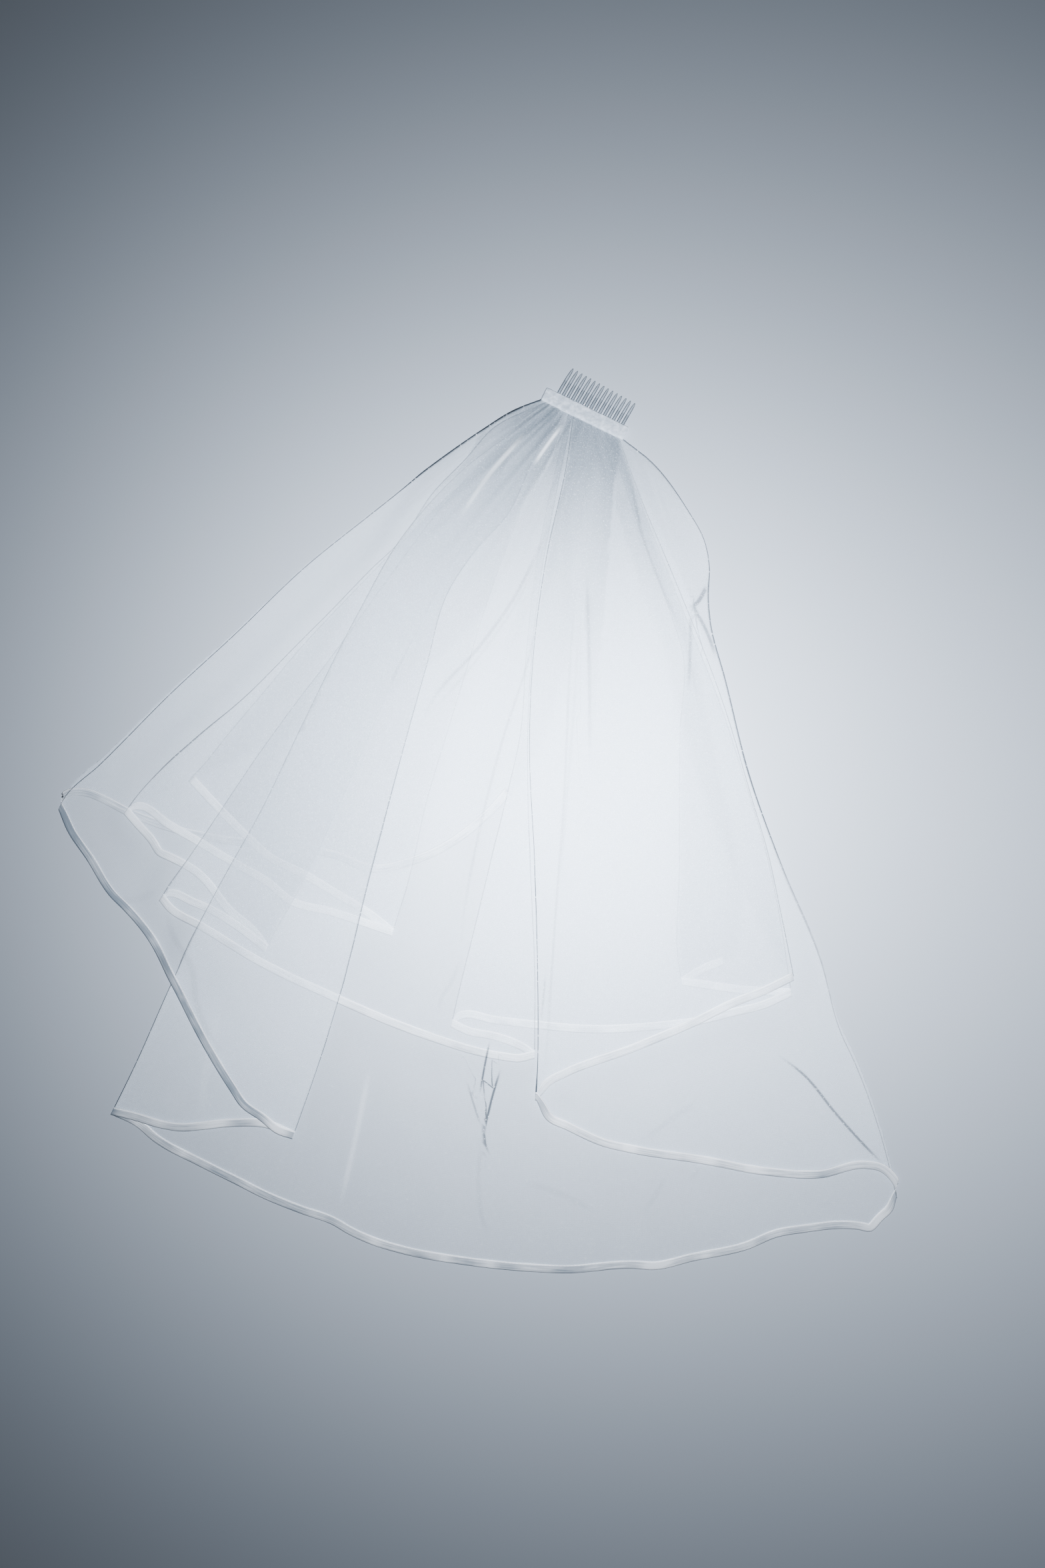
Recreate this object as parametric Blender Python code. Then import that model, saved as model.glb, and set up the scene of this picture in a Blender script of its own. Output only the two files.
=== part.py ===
# A two-tier bridal veil laid flat: two gathered tiers of tulle, bound with satin ribbon
# along their elliptical hems, on a fabric casing that holds a clear hair comb.
# Each tier is one cut of cloth, folded over and back into panels that lie on each other.
# +X is right and +Y is up as the veil lies, +Z is up from the surface that it rests on.

from collections import namedtuple
from math import cos, hypot, pi, radians, sin

import bmesh
import bpy
import numpy as np
from mathutils import Vector
from mathutils.geometry import delaunay_2d_cdt

# Driving sizes, in millimetres
MM = 0.001
WALL = 1.0           # thickness of every cloth wall
LEVEL = 1.4          # height from one panel to the next where they lie on each other
SEAM = 0.3           # gap between pieces that are sewn together
RIBBON = 8.0         # width of the ribbon binding that shows
FOLD_STEP = 62.0     # spacing of the points along a fold line
HEM_STEP = 36.0      # spacing of the points along a hem
CORNER_STEP = 12.0   # the same round a hem's turned corner
CORNER_BOWS = (-3.0, -5.0, -4.0)
SLACK = 3.5          # how far a panel's support reaches past its outline
SLACK_STEP = 5.0     # spacing of the places along an outline where that is tested
FOLD_REACH = 2.0     # most that a fold swells past its line
SQUARE_FROM = 60.0   # nearer the casing than this, folds swell along it, and farther out sideways
CENTRE_X = 0.1       # the middle of the whole outline, taken off every piece
CENTRE_Y = 0.94

# The casing's lower edge, where both tiers are gathered: its two ends
SEAT_LEFT = (60.4, 390.6)
SEAT_RIGHT = (134.2, 354.6)

# Comb and casing
CASING_LENGTH = 85.0
CASING_WIDTH = 13.0
CASING_HEIGHT = 8.4
CASING_BASE = 2.0
CASING_WALL = 2.2
CHANNEL_DEPTH = 9.6      # the slot that the comb's spine is in
TEETH = 15
TOOTH_PITCH = 4.7
TOOTH_LENGTH = 27.2
TOOTH_ROOT = 3.2     # width at the spine
TOOTH_TIP = 3.0
TOOTH_LEAN = 0.4     # the tips lie this far along from their roots
TOOTH_ARCH = 2.2
TOOTH_DROP = 5.2     # the tips come down almost to the surface
COMB_SHIFT = 2.5     # the comb sits a little to the right in its casing
COMB_TURN = 3.3      # degrees, clockwise as seen from above
COMB_INSET = 1.6     # from the casing's mouth back to the spine's front
SPINE_DEPTH = 5.0
SPINE_HEIGHT = 3.2
SPINE_OVERHANG = 1.2     # spine past the outermost teeth
END_TAPER = 1.6          # length over which the casing's ends round off
END_SIZE = 0.84          # size of its section there

# A tooth's sections: their share of its length, and their size against a plain taper
TOOTH_SECTIONS = ((0.04, 1.0), (0.35, 1.0), (0.62, 0.97), (0.8, 0.88), (0.92, 0.66), (0.98, 0.4), (1.0, 0.16))
TOOTH_FLATTEN = 0.56     # a tooth's thickness against the spine's

# The gathers are soft ridges that start at the casing and die away
GATHER_HEIGHT = 2.2
GATHER_REACH = 230.0

# Where two panels meet. The seat is the place along the casing, from 0 to 1, and x and y are
# the hem's corner. The bows are how far the fold line swings to the left of the straight run
# from the seat to the corner, at a quarter, a half and three quarters of the way.
Fold = namedtuple("Fold", "name seat x y near mid far")

# A panel's hem, from the fold before it to the fold after it, with its bows in the same way.
# Turn is a point where the hem swings round just before the second fold.
Panel = namedtuple("Panel", "name near mid far turn")

LONG_FOLDS = [
    Fold("free left edge", 0.15, 82.4, 379.4, 0.0, 0.0, 0.0),
    Fold("left outline", 0.00, -389.7, 11.2, -20.8, -21.6, -14.5),
    Fold("left flap inside", 0.22, -172.1, -294.5, -35.4, -26.0, -8.6),
    Fold("left flap outside", 0.14, -340.1, -272.2, -50.0, -37.2, -22.9),
    Fold("right outline", 1.00, 390.3, -349.7, 15.0, 3.0, 7.6),
    Fold("right flap inside", 0.40, 55.5, -258.5, -21.1, -22.2, -8.3),
    Fold("right flap tuck", 0.97, 294.2, -146.9, 8.0, 16.2, 14.0),
    Fold("free right edge", 0.91, 117.8, 362.1, 0.0, 0.0, 0.0),
]
LONG_PANELS = [
    Panel("A1", 190.0, 240.0, 140.0, None),
    Panel("A2", -7.3, -7.0, -18.4, None),
    Panel("A3", -5.1, 3.0, 5.7, None),
    Panel("A4", -61.6, -87.4, -60.8, (363.6, -381.3)),
    Panel("A5", 4.3, 16.1, 24.6, None),
    Panel("A6", 2.9, 0.0, 0.2, None),
    Panel("A7", 22.0, 20.0, 5.0, None),
]
SHORT_FOLDS = [
    Fold("free left edge", 0.20, 83.9, 378.6, 0.0, 0.0, 0.0),
    Fold("third left fold", 0.09, -268.1, 37.8, -8.1, -10.5, -7.2),
    Fold("inner left fold", 0.27, -79.7, -105.4, -10.5, -12.2, -8.2),
    Fold("left outline", 0.04, -327.7, 7.4, -10.9, 0.7, -1.0),
    Fold("left tuck", 0.17, -197.5, -120.9, -15.2, -14.2, -2.9),
    Fold("left hem corner", 0.07, -294.8, -73.2, -17.7, -13.2, -8.5),
    Fold("centre outside", 0.38, 53.0, -220.1, -20.2, -24.1, -11.1),
    Fold("centre inside", 0.34, -23.9, -191.0, -4.0, 7.0, 4.0),
    Fold("right outline", 0.95, 292.3, -161.8, 8.0, 17.2, 16.0),
    Fold("right tuck", 0.79, 189.4, -146.9, 21.0, 31.9, 14.9),
    Fold("free right edge", 0.81, 128.9, 356.8, 0.0, 0.0, 0.0),
]
SHORT_PANELS = [
    Panel("B1", 60.0, 80.0, 50.0, None),
    Panel("B2", -9.8, -11.4, -3.4, None),
    Panel("B3", 7.8, 5.6, -1.7, None),
    Panel("B4", -5.3, 4.3, 0.8, None),
    Panel("B5", -5.4, -8.8, -7.7, None),
    Panel("B6", -17.7, -23.6, -22.3, None),
    Panel("B7", -2.9, -2.8, 0.5, None),
    Panel("B8", -8.8, -19.1, -17.6, None),
    Panel("B9", -3.0, -4.0, -3.0, None),
    Panel("B10", -58.0, -56.0, -29.0, None),
]

# The panels of both tiers from the lowest to the highest, as they lie on each other
STACK = "A1 B1 B2 B3 B4 B5 B10 B9 B8 B7 B6 A4 A3 A2 A7 A6 A5".split()

# The ribbon starts and ends some way down from the comb. Two panels have a plain cut edge
# throughout, and two have it over this share of their hem, next to the comb.
PLAIN_PANELS = ("A7", "B1")
PLAIN_SHARES = {"A1": 0.65, "B10": 0.86}

# The fan of points that carries the heights: rays from the casing, and rows along each ray.
# A ray is its place on the casing and its bearing in degrees.
FAN_SIDES = [(-0.24, 176.0), (-0.14, 192.0), (-0.06, 206.0)]
FAN_LEFT = 218.0
FAN_RIGHT = 292.0
FAN_FAR_SIDES = [(1.10, 302.0), (1.26, 311.0), (1.46, 322.0)]
FAN_RAYS = 14
FAN_ROWS = [-6.0, 8.0, 24.0, 46.0, 76.0, 116.0, 170.0, 240.0, 325.0, 420.0, 520.0, 625.0, 735.0, 850.0]


def unit(dx, dy):
    length = hypot(dx, dy)
    return dx / length, dy / length


ALONG = unit(SEAT_RIGHT[0] - SEAT_LEFT[0], SEAT_RIGHT[1] - SEAT_LEFT[1])
ACROSS = (-ALONG[1], ALONG[0])


def seat_point(place):
    # A point just under the casing's lower edge
    x = SEAT_LEFT[0] + (SEAT_RIGHT[0] - SEAT_LEFT[0]) * place - ACROSS[0] * SEAM
    y = SEAT_LEFT[1] + (SEAT_RIGHT[1] - SEAT_LEFT[1]) * place - ACROSS[1] * SEAM
    return x, y


def bow_at(t, near, mid, far):
    # A smooth swing that is zero at both ends and passes through the three bows
    knots = (0.0, 0.25, 0.5, 0.75, 1.0)
    heights = (0.0, near, mid, far, 0.0)
    total = 0.0
    for i, height in enumerate(heights):
        share = height
        for j, knot in enumerate(knots):
            if j != i:
                share *= (t - knot) / (knots[i] - knot)
        total += share
    return total


def bowed_line(start, end, bows, step, first=0.0, last=1.0):
    # Points along a bowed line, from the share first to the share last of its length
    dx, dy = end[0] - start[0], end[1] - start[1]
    length = hypot(dx, dy)
    count = max(1, round(length * (last - first) / step))
    points = []
    for i in range(count + 1):
        t = first + (last - first) * i / count
        swing = bow_at(t, *bows) / length
        points.append((start[0] + dx * t - dy * swing, start[1] + dy * t + dx * swing))
    return points


def fold_line(fold, first, last):
    # The fold line between two distances from the hem's corner, first being the farther one;
    # None starts it at the casing
    start, end = seat_point(fold.seat), (fold.x, fold.y)
    length = hypot(end[0] - start[0], end[1] - start[1])
    begin = 0.0 if first is None else 1.0 - first / length
    return bowed_line(start, end, (fold.near, fold.mid, fold.far), FOLD_STEP, begin, 1.0 - last / length)


def hem_line(before, panel, after):
    # The hem's outer edge from one fold to the next
    start, end = (before.x, before.y), (after.x, after.y)
    bows = (panel.near, panel.mid, panel.far)
    if panel.turn is None:
        return bowed_line(start, end, bows, HEM_STEP)
    round_end = bowed_line(panel.turn, end, CORNER_BOWS, CORNER_STEP)
    return bowed_line(start, panel.turn, bows, HEM_STEP) + round_end[1:]


def hem_inside(before, panel, after, depth):
    # The hem's line moved in by a depth, with its ends on the two fold lines
    outer = hem_line(before, panel, after)
    seats = seat_point((before.seat + after.seat) / 2)
    turn = (after.x - before.x) * (seats[1] - before.y) - (after.y - before.y) * (seats[0] - before.x)
    side = 1.0 if turn > 0 else -1.0
    inner = []
    for i, point in enumerate(outer):
        ahead, behind = outer[min(i + 1, len(outer) - 1)], outer[max(i - 1, 0)]
        dx, dy = unit(ahead[0] - behind[0], ahead[1] - behind[1])
        inner.append((point[0] - dy * depth * side, point[1] + dx * depth * side))
    inner[0] = fold_line(before, None, depth)[-1]
    inner[-1] = fold_line(after, None, depth)[-1]
    return inner


def cloth_outline(before, panel, after):
    # A panel of tulle: down one fold, along inside the ribbon, up the other fold
    depth = RIBBON + SEAM
    down = fold_line(before, None, depth)
    hem = hem_inside(before, panel, after, depth)
    up = fold_line(after, None, depth)[::-1]
    return [down, hem, up, [up[-1], down[0]]]


def ribbon_outline(before, panel, after):
    # A panel's stretch of ribbon, between its inner edge and the hem's outer edge
    down = fold_line(before, RIBBON, 0.0)
    up = fold_line(after, RIBBON, 0.0)[::-1]
    outer = hem_line(before, panel, after)
    inner = hem_inside(before, panel, after, RIBBON)
    plain = round(PLAIN_SHARES.get(panel.name, 0.0) * (len(outer) - 1))
    if plain and before.name == "free left edge":
        outer, inner = outer[plain:], inner[plain:]
        down = [inner[0], outer[0]]
    elif plain:
        outer, inner = outer[:-plain], inner[:-plain]
        up = [outer[-1], inner[-1]]
    return [down, outer, up, inner[::-1]]


def ribboned_stretch(folds, panels):
    # The panels that carry ribbon, with the folds between them and at their ends
    kept = [number for number, panel in enumerate(panels) if panel.name not in PLAIN_PANELS]
    return folds[kept[0]:kept[-1] + 2], panels[kept[0]:kept[-1] + 1]


def loop_of(sides):
    # The four sides as one closed loop, and the place of each corner in it
    loop, corners = [], []
    for side in sides:
        corners.append(len(loop))
        loop.extend(side[:-1])
    return loop, corners


def inside_loop(points, loop):
    # Which points lie inside a closed loop
    x, y = points[:, 0], points[:, 1]
    hit = np.zeros(len(points), bool)
    for (x1, y1), (x2, y2) in zip(loop, loop[1:] + loop[:1]):
        crosses = (y1 > y) != (y2 > y)
        if crosses.any():
            hit ^= crosses & (x < (x2 - x1) * (y - y1) / (y2 - y1) + x1)
    return hit


def make_fan():
    # The fan's points, row by row, and its triangles
    rays = list(FAN_SIDES)
    for i in range(FAN_RAYS + 1):
        place = i / FAN_RAYS
        rays.append((place, FAN_LEFT + (FAN_RIGHT - FAN_LEFT) * place))
    rays.extend(FAN_FAR_SIDES)
    points, relief = [], []
    for distance in FAN_ROWS:
        for i, (place, bearing) in enumerate(rays):
            x, y = seat_point(place)
            points.append((x + distance * cos(radians(bearing)), y + distance * sin(radians(bearing))))
            fade = max(0.0, 1.0 - max(distance, 0.0) / GATHER_REACH)
            relief.append(GATHER_HEIGHT * fade * (i % 2))
    triangles = []
    for row in range(len(FAN_ROWS) - 1):
        for i in range(len(rays) - 1):
            a = row * len(rays) + i
            b, c, d = a + 1, a + len(rays), a + len(rays) + 1
            triangles.extend([(a, d, b), (a, c, d)] if (row + i) % 2 else [(a, c, b), (b, c, d)])
    return np.array(points), np.array(relief), triangles


def fan_support(points, triangles, loop):
    # The fan points that must be lifted for what lies on a panel with this outline
    held = inside_loop(points, loop)
    samples = []
    for (x1, y1), (x2, y2) in zip(loop, loop[1:] + loop[:1]):
        count = max(2, int(hypot(x2 - x1, y2 - y1) / SLACK_STEP))
        for i in range(count):
            t = i / count
            for turn in range(8):
                dx, dy = SLACK * cos(turn * pi / 4), SLACK * sin(turn * pi / 4)
                samples.append((x1 + (x2 - x1) * t + dx, y1 + (y2 - y1) * t + dy))
    samples = np.array(samples)
    for corners in triangles:
        a, b, c = points[list(corners)]
        sides = []
        for p, q in ((a, b), (b, c), (c, a)):
            sides.append((q[0] - p[0]) * (samples[:, 1] - p[1]) - (q[1] - p[1]) * (samples[:, 0] - p[0]))
        sides = np.array(sides)
        if ((sides >= 0).all(axis=0) | (sides <= 0).all(axis=0)).any():
            held[list(corners)] = True
    return held


def plane_height(point, corners, heights):
    # The height at a point on the flat triangle through three corners
    (ax, ay), (bx, by), (cx, cy) = corners
    area = (bx - ax) * (cy - ay) - (cx - ax) * (by - ay)
    b = ((point[0] - ax) * (cy - ay) - (cx - ax) * (point[1] - ay)) / area
    c = ((bx - ax) * (point[1] - ay) - (point[0] - ax) * (by - ay)) / area
    return heights[0] * (1 - b - c) + heights[1] * b + heights[2] * c


def fill_panel(fan, sides, heights):
    # Triangles that fill an outline and follow the fan's flat facets, with each point's height.
    # Gives the points, the triangles, and the points along each of the four sides.
    fan_points, fan_triangles = fan
    loop, corners = loop_of(sides)
    ring = np.array(loop)
    low, high = ring.min(axis=0), ring.max(axis=0)
    near = []
    for corner_ids in fan_triangles:
        box = fan_points[list(corner_ids)]
        if (box.max(axis=0) >= low).all() and (box.min(axis=0) <= high).all():
            near.append(corner_ids)
    used = sorted({i for corner_ids in near for i in corner_ids})
    place = {node: i for i, node in enumerate(used)}
    verts = [Vector(fan_points[node]) for node in used] + [Vector(point) for point in loop]
    faces = [[place[node] for node in corner_ids] for corner_ids in near]
    around = list(range(len(used), len(verts)))
    turned = sum(x1 * y2 - x2 * y1 for (x1, y1), (x2, y2) in zip(loop, loop[1:] + loop[:1]))
    faces.append(around if turned > 0 else around[::-1])
    outline = len(faces) - 1
    points, _, cells, from_verts, _, from_faces = delaunay_2d_cdt(verts, [], faces, 0, 1e-4)

    kept, height = [], {}
    for cell, sources in zip(cells, from_faces):
        if outline not in sources:
            continue
        facet = next(near[i] for i in sources if i != outline)
        for i in cell:
            if i not in height:
                height[i] = plane_height(points[i], fan_points[list(facet)], heights[list(facet)])
        kept.append(list(cell))
    next_on_edge = {}
    pairs = {(a, b) for cell in kept for a, b in zip(cell, cell[1:] + cell[:1])}
    for a, b in pairs:
        if (b, a) not in pairs:
            next_on_edge[a] = b
    corner_points = []
    for corner in corners:
        target = len(used) + corner
        corner_points.append(next(i for i, origins in enumerate(from_verts) if target in origins))
    walked = [corner_points[0]]
    while next_on_edge[walked[-1]] != walked[0]:
        walked.append(next_on_edge[walked[-1]])
    # The walk runs anticlockwise, and the outline may run the other way round
    if turned < 0:
        walked = [walked[0]] + walked[:0:-1]
    order = [walked.index(corner) for corner in corner_points]
    ends = order[1:] + [len(walked)]
    ring_ids = walked + [walked[0]]
    edges = [ring_ids[a:b + 1] for a, b in zip(order, ends)]
    flat = {i: (points[i][0], points[i][1], height[i]) for i in height}
    return flat, kept, edges


def away_from(fold, neighbour_middle):
    # 1 when the open side of a fold line is on its left as seen from the casing, or else -1
    start = seat_point(fold.seat)
    dx, dy = fold.x - start[0], fold.y - start[1]
    turn = dx * (neighbour_middle[1] - start[1]) - dy * (neighbour_middle[0] - start[0])
    return -1.0 if turn > 0 else 1.0


def fold_round(lower, upper, direction, rounds):
    # The half-round that joins two panels at one point of their fold: middles and their normals
    rise = (upper[2] - lower[2]) / 2
    reach = min(abs(rise), FOLD_REACH)
    centre = (upper[2] + lower[2]) / 2
    result = []
    for i in range(1, rounds):
        angle = pi * i / rounds
        out, up = reach * sin(angle), -rise * cos(angle)
        nx, nz = sin(angle) * abs(rise), -cos(angle) * reach * (1 if rise > 0 else -1)
        length = hypot(nx, nz)
        middle = (lower[0] + direction[0] * out, lower[1] + direction[1] * out, centre + up)
        normal = (direction[0] * nx / length, direction[1] * nx / length, nz / length)
        result.append((middle, normal))
    return result


def fold_directions(points, side):
    # Which way each point of a fold swells: along the casing at first, then square to the fold
    result = []
    start = seat_point(0.5)
    for i, point in enumerate(points):
        ahead, behind = points[min(i + 1, len(points) - 1)], points[max(i - 1, 0)]
        dx, dy = unit(ahead[0] - behind[0], ahead[1] - behind[1])
        away = hypot(point[0] - start[0], point[1] - start[1])
        share = min(1.0, max(0.0, (away - SQUARE_FROM) / SQUARE_FROM))
        swell_x = ALONG[0] * (1 - share) - dy * share
        swell_y = ALONG[1] * (1 - share) + dx * share
        result.append(unit(swell_x * side, swell_y * side))
    return result


def folded_wall(fan, folds, panels, outline, heights):
    # One wall of cloth through every panel and round every fold between them
    middles, normals, faces = [], [], []

    def add(point, normal):
        middles.append(point)
        normals.append(normal)
        return len(middles) - 1

    previous = None
    for number, panel in enumerate(panels):
        before, after = folds[number], folds[number + 1]
        facing = 1.0 if number % 2 == 0 else -1.0
        flat, cells, edges = fill_panel(fan, outline(before, panel, after), heights[panel.name])
        ids = {i: add(point, (0.0, 0.0, facing)) for i, point in flat.items()}
        for cell in cells:
            ring = [ids[i] for i in cell]
            faces.append(ring if facing > 0 else ring[::-1])
        first = [ids[i] for i in edges[0]]
        last = [ids[i] for i in edges[2]][::-1]
        middle = hem_line(before, panel, after)
        middle = middle[len(middle) // 2]
        if previous is not None:
            join_fold(middles, add, faces, before, previous, first, -facing, middle)
        previous = last
    return middles, normals, faces


def join_fold(middles, add, faces, fold, earlier, later, facing, middle):
    # The rounded fold between the last edge of one panel and the first edge of the next
    if len(earlier) != len(later):
        raise ValueError("the two sides of the fold " + fold.name + " do not match")
    side = away_from(fold, middle)
    directions = fold_directions([middles[i] for i in earlier], side)
    tallest = max(abs(middles[a][2] - middles[b][2]) for a, b in zip(earlier, later))
    rounds = 4 if tallest > 3 * LEVEL else 2
    rows = []
    for a, b, direction in zip(earlier, later, directions):
        row = [a]
        climbs = middles[b][2] > middles[a][2]
        sign = -facing if climbs else facing
        for point, normal in fold_round(middles[a], middles[b], direction, rounds):
            row.append(add(point, tuple(sign * value for value in normal)))
        row.append(b)
        rows.append(row)
    for row, below in zip(rows, rows[1:]):
        for i in range(rounds):
            ring = [row[i], below[i], below[i + 1], row[i + 1]]
            faces.append(ring if side * facing > 0 else ring[::-1])


def wall_mesh(name, middles, normals, faces, material):
    # A closed wall: the outer face, the inner face, and a rim along every open edge
    bm = bmesh.new()
    outer, inner = [], []
    for point, normal in zip(middles, normals):
        place = Vector((point[0] - CENTRE_X, point[1] - CENTRE_Y, point[2]))
        shift = Vector(normal) * (WALL / 2)
        outer.append(bm.verts.new((place + shift) * MM))
        inner.append(bm.verts.new((place - shift) * MM))
    edges = {(a, b) for ring in faces for a, b in zip(ring, ring[1:] + ring[:1])}
    for ring in faces:
        bm.faces.new([outer[i] for i in ring])
        bm.faces.new([inner[i] for i in reversed(ring)])
    for a, b in edges:
        if (b, a) not in edges:
            bm.faces.new([outer[b], outer[a], inner[a], inner[b]])
    bmesh.ops.recalc_face_normals(bm, faces=bm.faces)
    bmesh.ops.triangulate(bm, faces=bm.faces)
    return finish_piece(name, bm, material)


def finish_piece(name, bm, material):
    mesh = bpy.data.meshes.new(name)
    bm.to_mesh(mesh)
    bm.free()
    piece = bpy.data.objects.new(name, mesh)
    bpy.context.collection.objects.link(piece)
    mesh.materials.append(material)
    return piece


def make_material(name, colour, roughness, metallic=0.0, alpha=1.0):
    material = bpy.data.materials.new(name)
    material.use_nodes = True
    shader = material.node_tree.nodes["Principled BSDF"]
    shader.inputs["Base Color"].default_value = (*colour, 1.0)
    shader.inputs["Roughness"].default_value = roughness
    shader.inputs["Metallic"].default_value = metallic
    shader.inputs["Alpha"].default_value = alpha
    return material


def casing_place(along, across, height):
    # A point given along the casing from its middle, across it towards the teeth, and in height
    x, y = (SEAT_LEFT[0] + SEAT_RIGHT[0]) / 2, (SEAT_LEFT[1] + SEAT_RIGHT[1]) / 2
    x += ALONG[0] * along + ACROSS[0] * across
    y += ALONG[1] * along + ACROSS[1] * across
    return Vector((x - CENTRE_X, y - CENTRE_Y, height)) * MM


def comb_place(along, across, height):
    # The same for the comb, which is turned a little about the middle of its spine
    turn = radians(COMB_TURN)
    pivot = CASING_WIDTH - COMB_INSET - SPINE_DEPTH / 2
    x, y = along - COMB_SHIFT, across - pivot
    return casing_place(COMB_SHIFT + x * cos(turn) + y * sin(turn), pivot + y * cos(turn) - x * sin(turn), height)


def make_casing(material):
    # A felted band folded round the comb's spine: a channel that is open towards the teeth
    middle = CASING_BASE + CASING_HEIGHT / 2
    radius = CASING_HEIGHT / 2
    inside = radius - CASING_WALL
    profile = [(CASING_WIDTH, middle + radius)]
    for i in range(7):
        angle = pi / 2 + pi * i / 6
        profile.append((radius + radius * cos(angle), middle + radius * sin(angle)))
    profile.append((CASING_WIDTH, middle - radius))
    profile.append((CASING_WIDTH, middle - inside))
    profile.append((CASING_WIDTH - CHANNEL_DEPTH, middle - inside))
    profile.append((CASING_WIDTH - CHANNEL_DEPTH, middle + inside))
    profile.append((CASING_WIDTH, middle + inside))
    bm = bmesh.new()
    half = CASING_LENGTH / 2
    rings = []
    full = half - END_TAPER
    for along, size in ((-half, END_SIZE), (-full, 1.0), (full, 1.0), (half, END_SIZE)):
        ring = []
        for across, height in profile:
            spread = CASING_WIDTH / 2 + (across - CASING_WIDTH / 2) * size
            ring.append(bm.verts.new(casing_place(along, spread, middle + (height - middle) * size)))
        rings.append(ring)
    for ring, following in zip(rings, rings[1:]):
        for i in range(len(ring)):
            j = (i + 1) % len(ring)
            bm.faces.new([ring[i], ring[j], following[j], following[i]])
    bm.faces.new(rings[0][::-1])
    bm.faces.new(rings[-1])
    bmesh.ops.recalc_face_normals(bm, faces=bm.faces)
    bmesh.ops.triangulate(bm, faces=bm.faces)
    return finish_piece("comb_casing", bm, material)


def make_comb(material):
    # The spine, with a row of teeth drawn out of its front face, arched and tapered
    middle = CASING_BASE + CASING_HEIGHT / 2
    front = CASING_WIDTH - COMB_INSET
    back = front - SPINE_DEPTH
    cuts = []
    for tooth in range(TEETH):
        centre = COMB_SHIFT + (tooth - (TEETH - 1) / 2) * TOOTH_PITCH
        cuts.extend([centre - TOOTH_ROOT / 2, centre + TOOTH_ROOT / 2])
    cuts = [cuts[0] - SPINE_OVERHANG] + cuts + [cuts[-1] + SPINE_OVERHANG]
    top, bottom = middle + SPINE_HEIGHT / 2, middle - SPINE_HEIGHT / 2
    bm = bmesh.new()
    rings = []
    for along in cuts:
        section = ((back, bottom), (front, bottom), (front, top), (back, top))
        rings.append([bm.verts.new(comb_place(along, across, height)) for across, height in section])
    fronts = []
    for number, (ring, following) in enumerate(zip(rings, rings[1:])):
        for i in range(4):
            j = (i + 1) % 4
            face = bm.faces.new([ring[i], ring[j], following[j], following[i]])
            if i == 1 and number % 2 == 1:
                fronts.append((face, (cuts[number] + cuts[number + 1]) / 2))
    bm.faces.new(rings[0][::-1])
    bm.faces.new(rings[-1])
    for face, centre in fronts:
        base = [vert.co.copy() for vert in face.verts]
        origin = comb_place(centre, front, middle)
        for share, size in TOOTH_SECTIONS:
            made = bmesh.ops.extrude_discrete_faces(bm, faces=[face])
            face = made["faces"][0]
            taper = (TOOTH_TIP * share + TOOTH_ROOT * (1 - share)) / TOOTH_ROOT
            lift = TOOTH_ARCH * 4 * share * (1 - share) - TOOTH_DROP * share * share
            goal = comb_place(centre + TOOTH_LEAN * share, front + TOOTH_LENGTH * share, middle + lift)
            for vert, start in zip(face.verts, base):
                offset = start - origin
                thick = offset.z * TOOTH_FLATTEN * size ** 0.5
                vert.co = goal + Vector((offset.x * size * taper, offset.y * size * taper, thick))
    bmesh.ops.recalc_face_normals(bm, faces=bm.faces)
    bmesh.ops.triangulate(bm, faces=bm.faces)
    return finish_piece("comb", bm, material)


def panel_heights(points, relief, triangles):
    # The height of each panel's middle at every fan point: the panels below it lift it
    outlines = {}
    for folds, panels in ((LONG_FOLDS, LONG_PANELS), (SHORT_FOLDS, SHORT_PANELS)):
        for number, panel in enumerate(panels):
            before, after = folds[number], folds[number + 1]
            down = fold_line(before, None, 0.0)
            up = fold_line(after, None, 0.0)[::-1]
            sides = [down, hem_line(before, panel, after), up, [up[-1], down[0]]]
            outlines[panel.name] = loop_of(sides)[0]
    heights, level = {}, relief + WALL / 2
    for name in STACK:
        heights[name] = level.copy()
        level = level + LEVEL * fan_support(points, triangles, outlines[name])
    return heights


def build_veil():
    for old in list(bpy.data.objects):
        bpy.data.objects.remove(old)
    tulle = make_material("tulle", (0.86, 0.88, 0.90), 0.55, alpha=0.6)
    satin = make_material("satin ribbon", (0.80, 0.83, 0.86), 0.30)
    felt = make_material("felted casing", (0.90, 0.90, 0.90), 0.90)
    clear = make_material("clear plastic", (0.85, 0.88, 0.90), 0.10, alpha=0.5)

    points, relief, triangles = make_fan()
    heights = panel_heights(points, relief, triangles)
    fan = (points, triangles)
    tiers = (("long", LONG_FOLDS, LONG_PANELS), ("short", SHORT_FOLDS, SHORT_PANELS))
    for tier, folds, panels in tiers:
        wall_mesh("tulle_" + tier, *folded_wall(fan, folds, panels, cloth_outline, heights), tulle)
        folds, panels = ribboned_stretch(folds, panels)
        wall_mesh("ribbon_" + tier, *folded_wall(fan, folds, panels, ribbon_outline, heights), satin)
    make_casing(felt)
    make_comb(clear)


build_veil()
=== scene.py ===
# A two-tier bridal veil lying flat on a glossy white board, seen from straight above.
# Both tulle tiers, their satin ribbons and stitches, the felted casing and the clear comb
# are dressed here over the frame's own nodes.

import math

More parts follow.
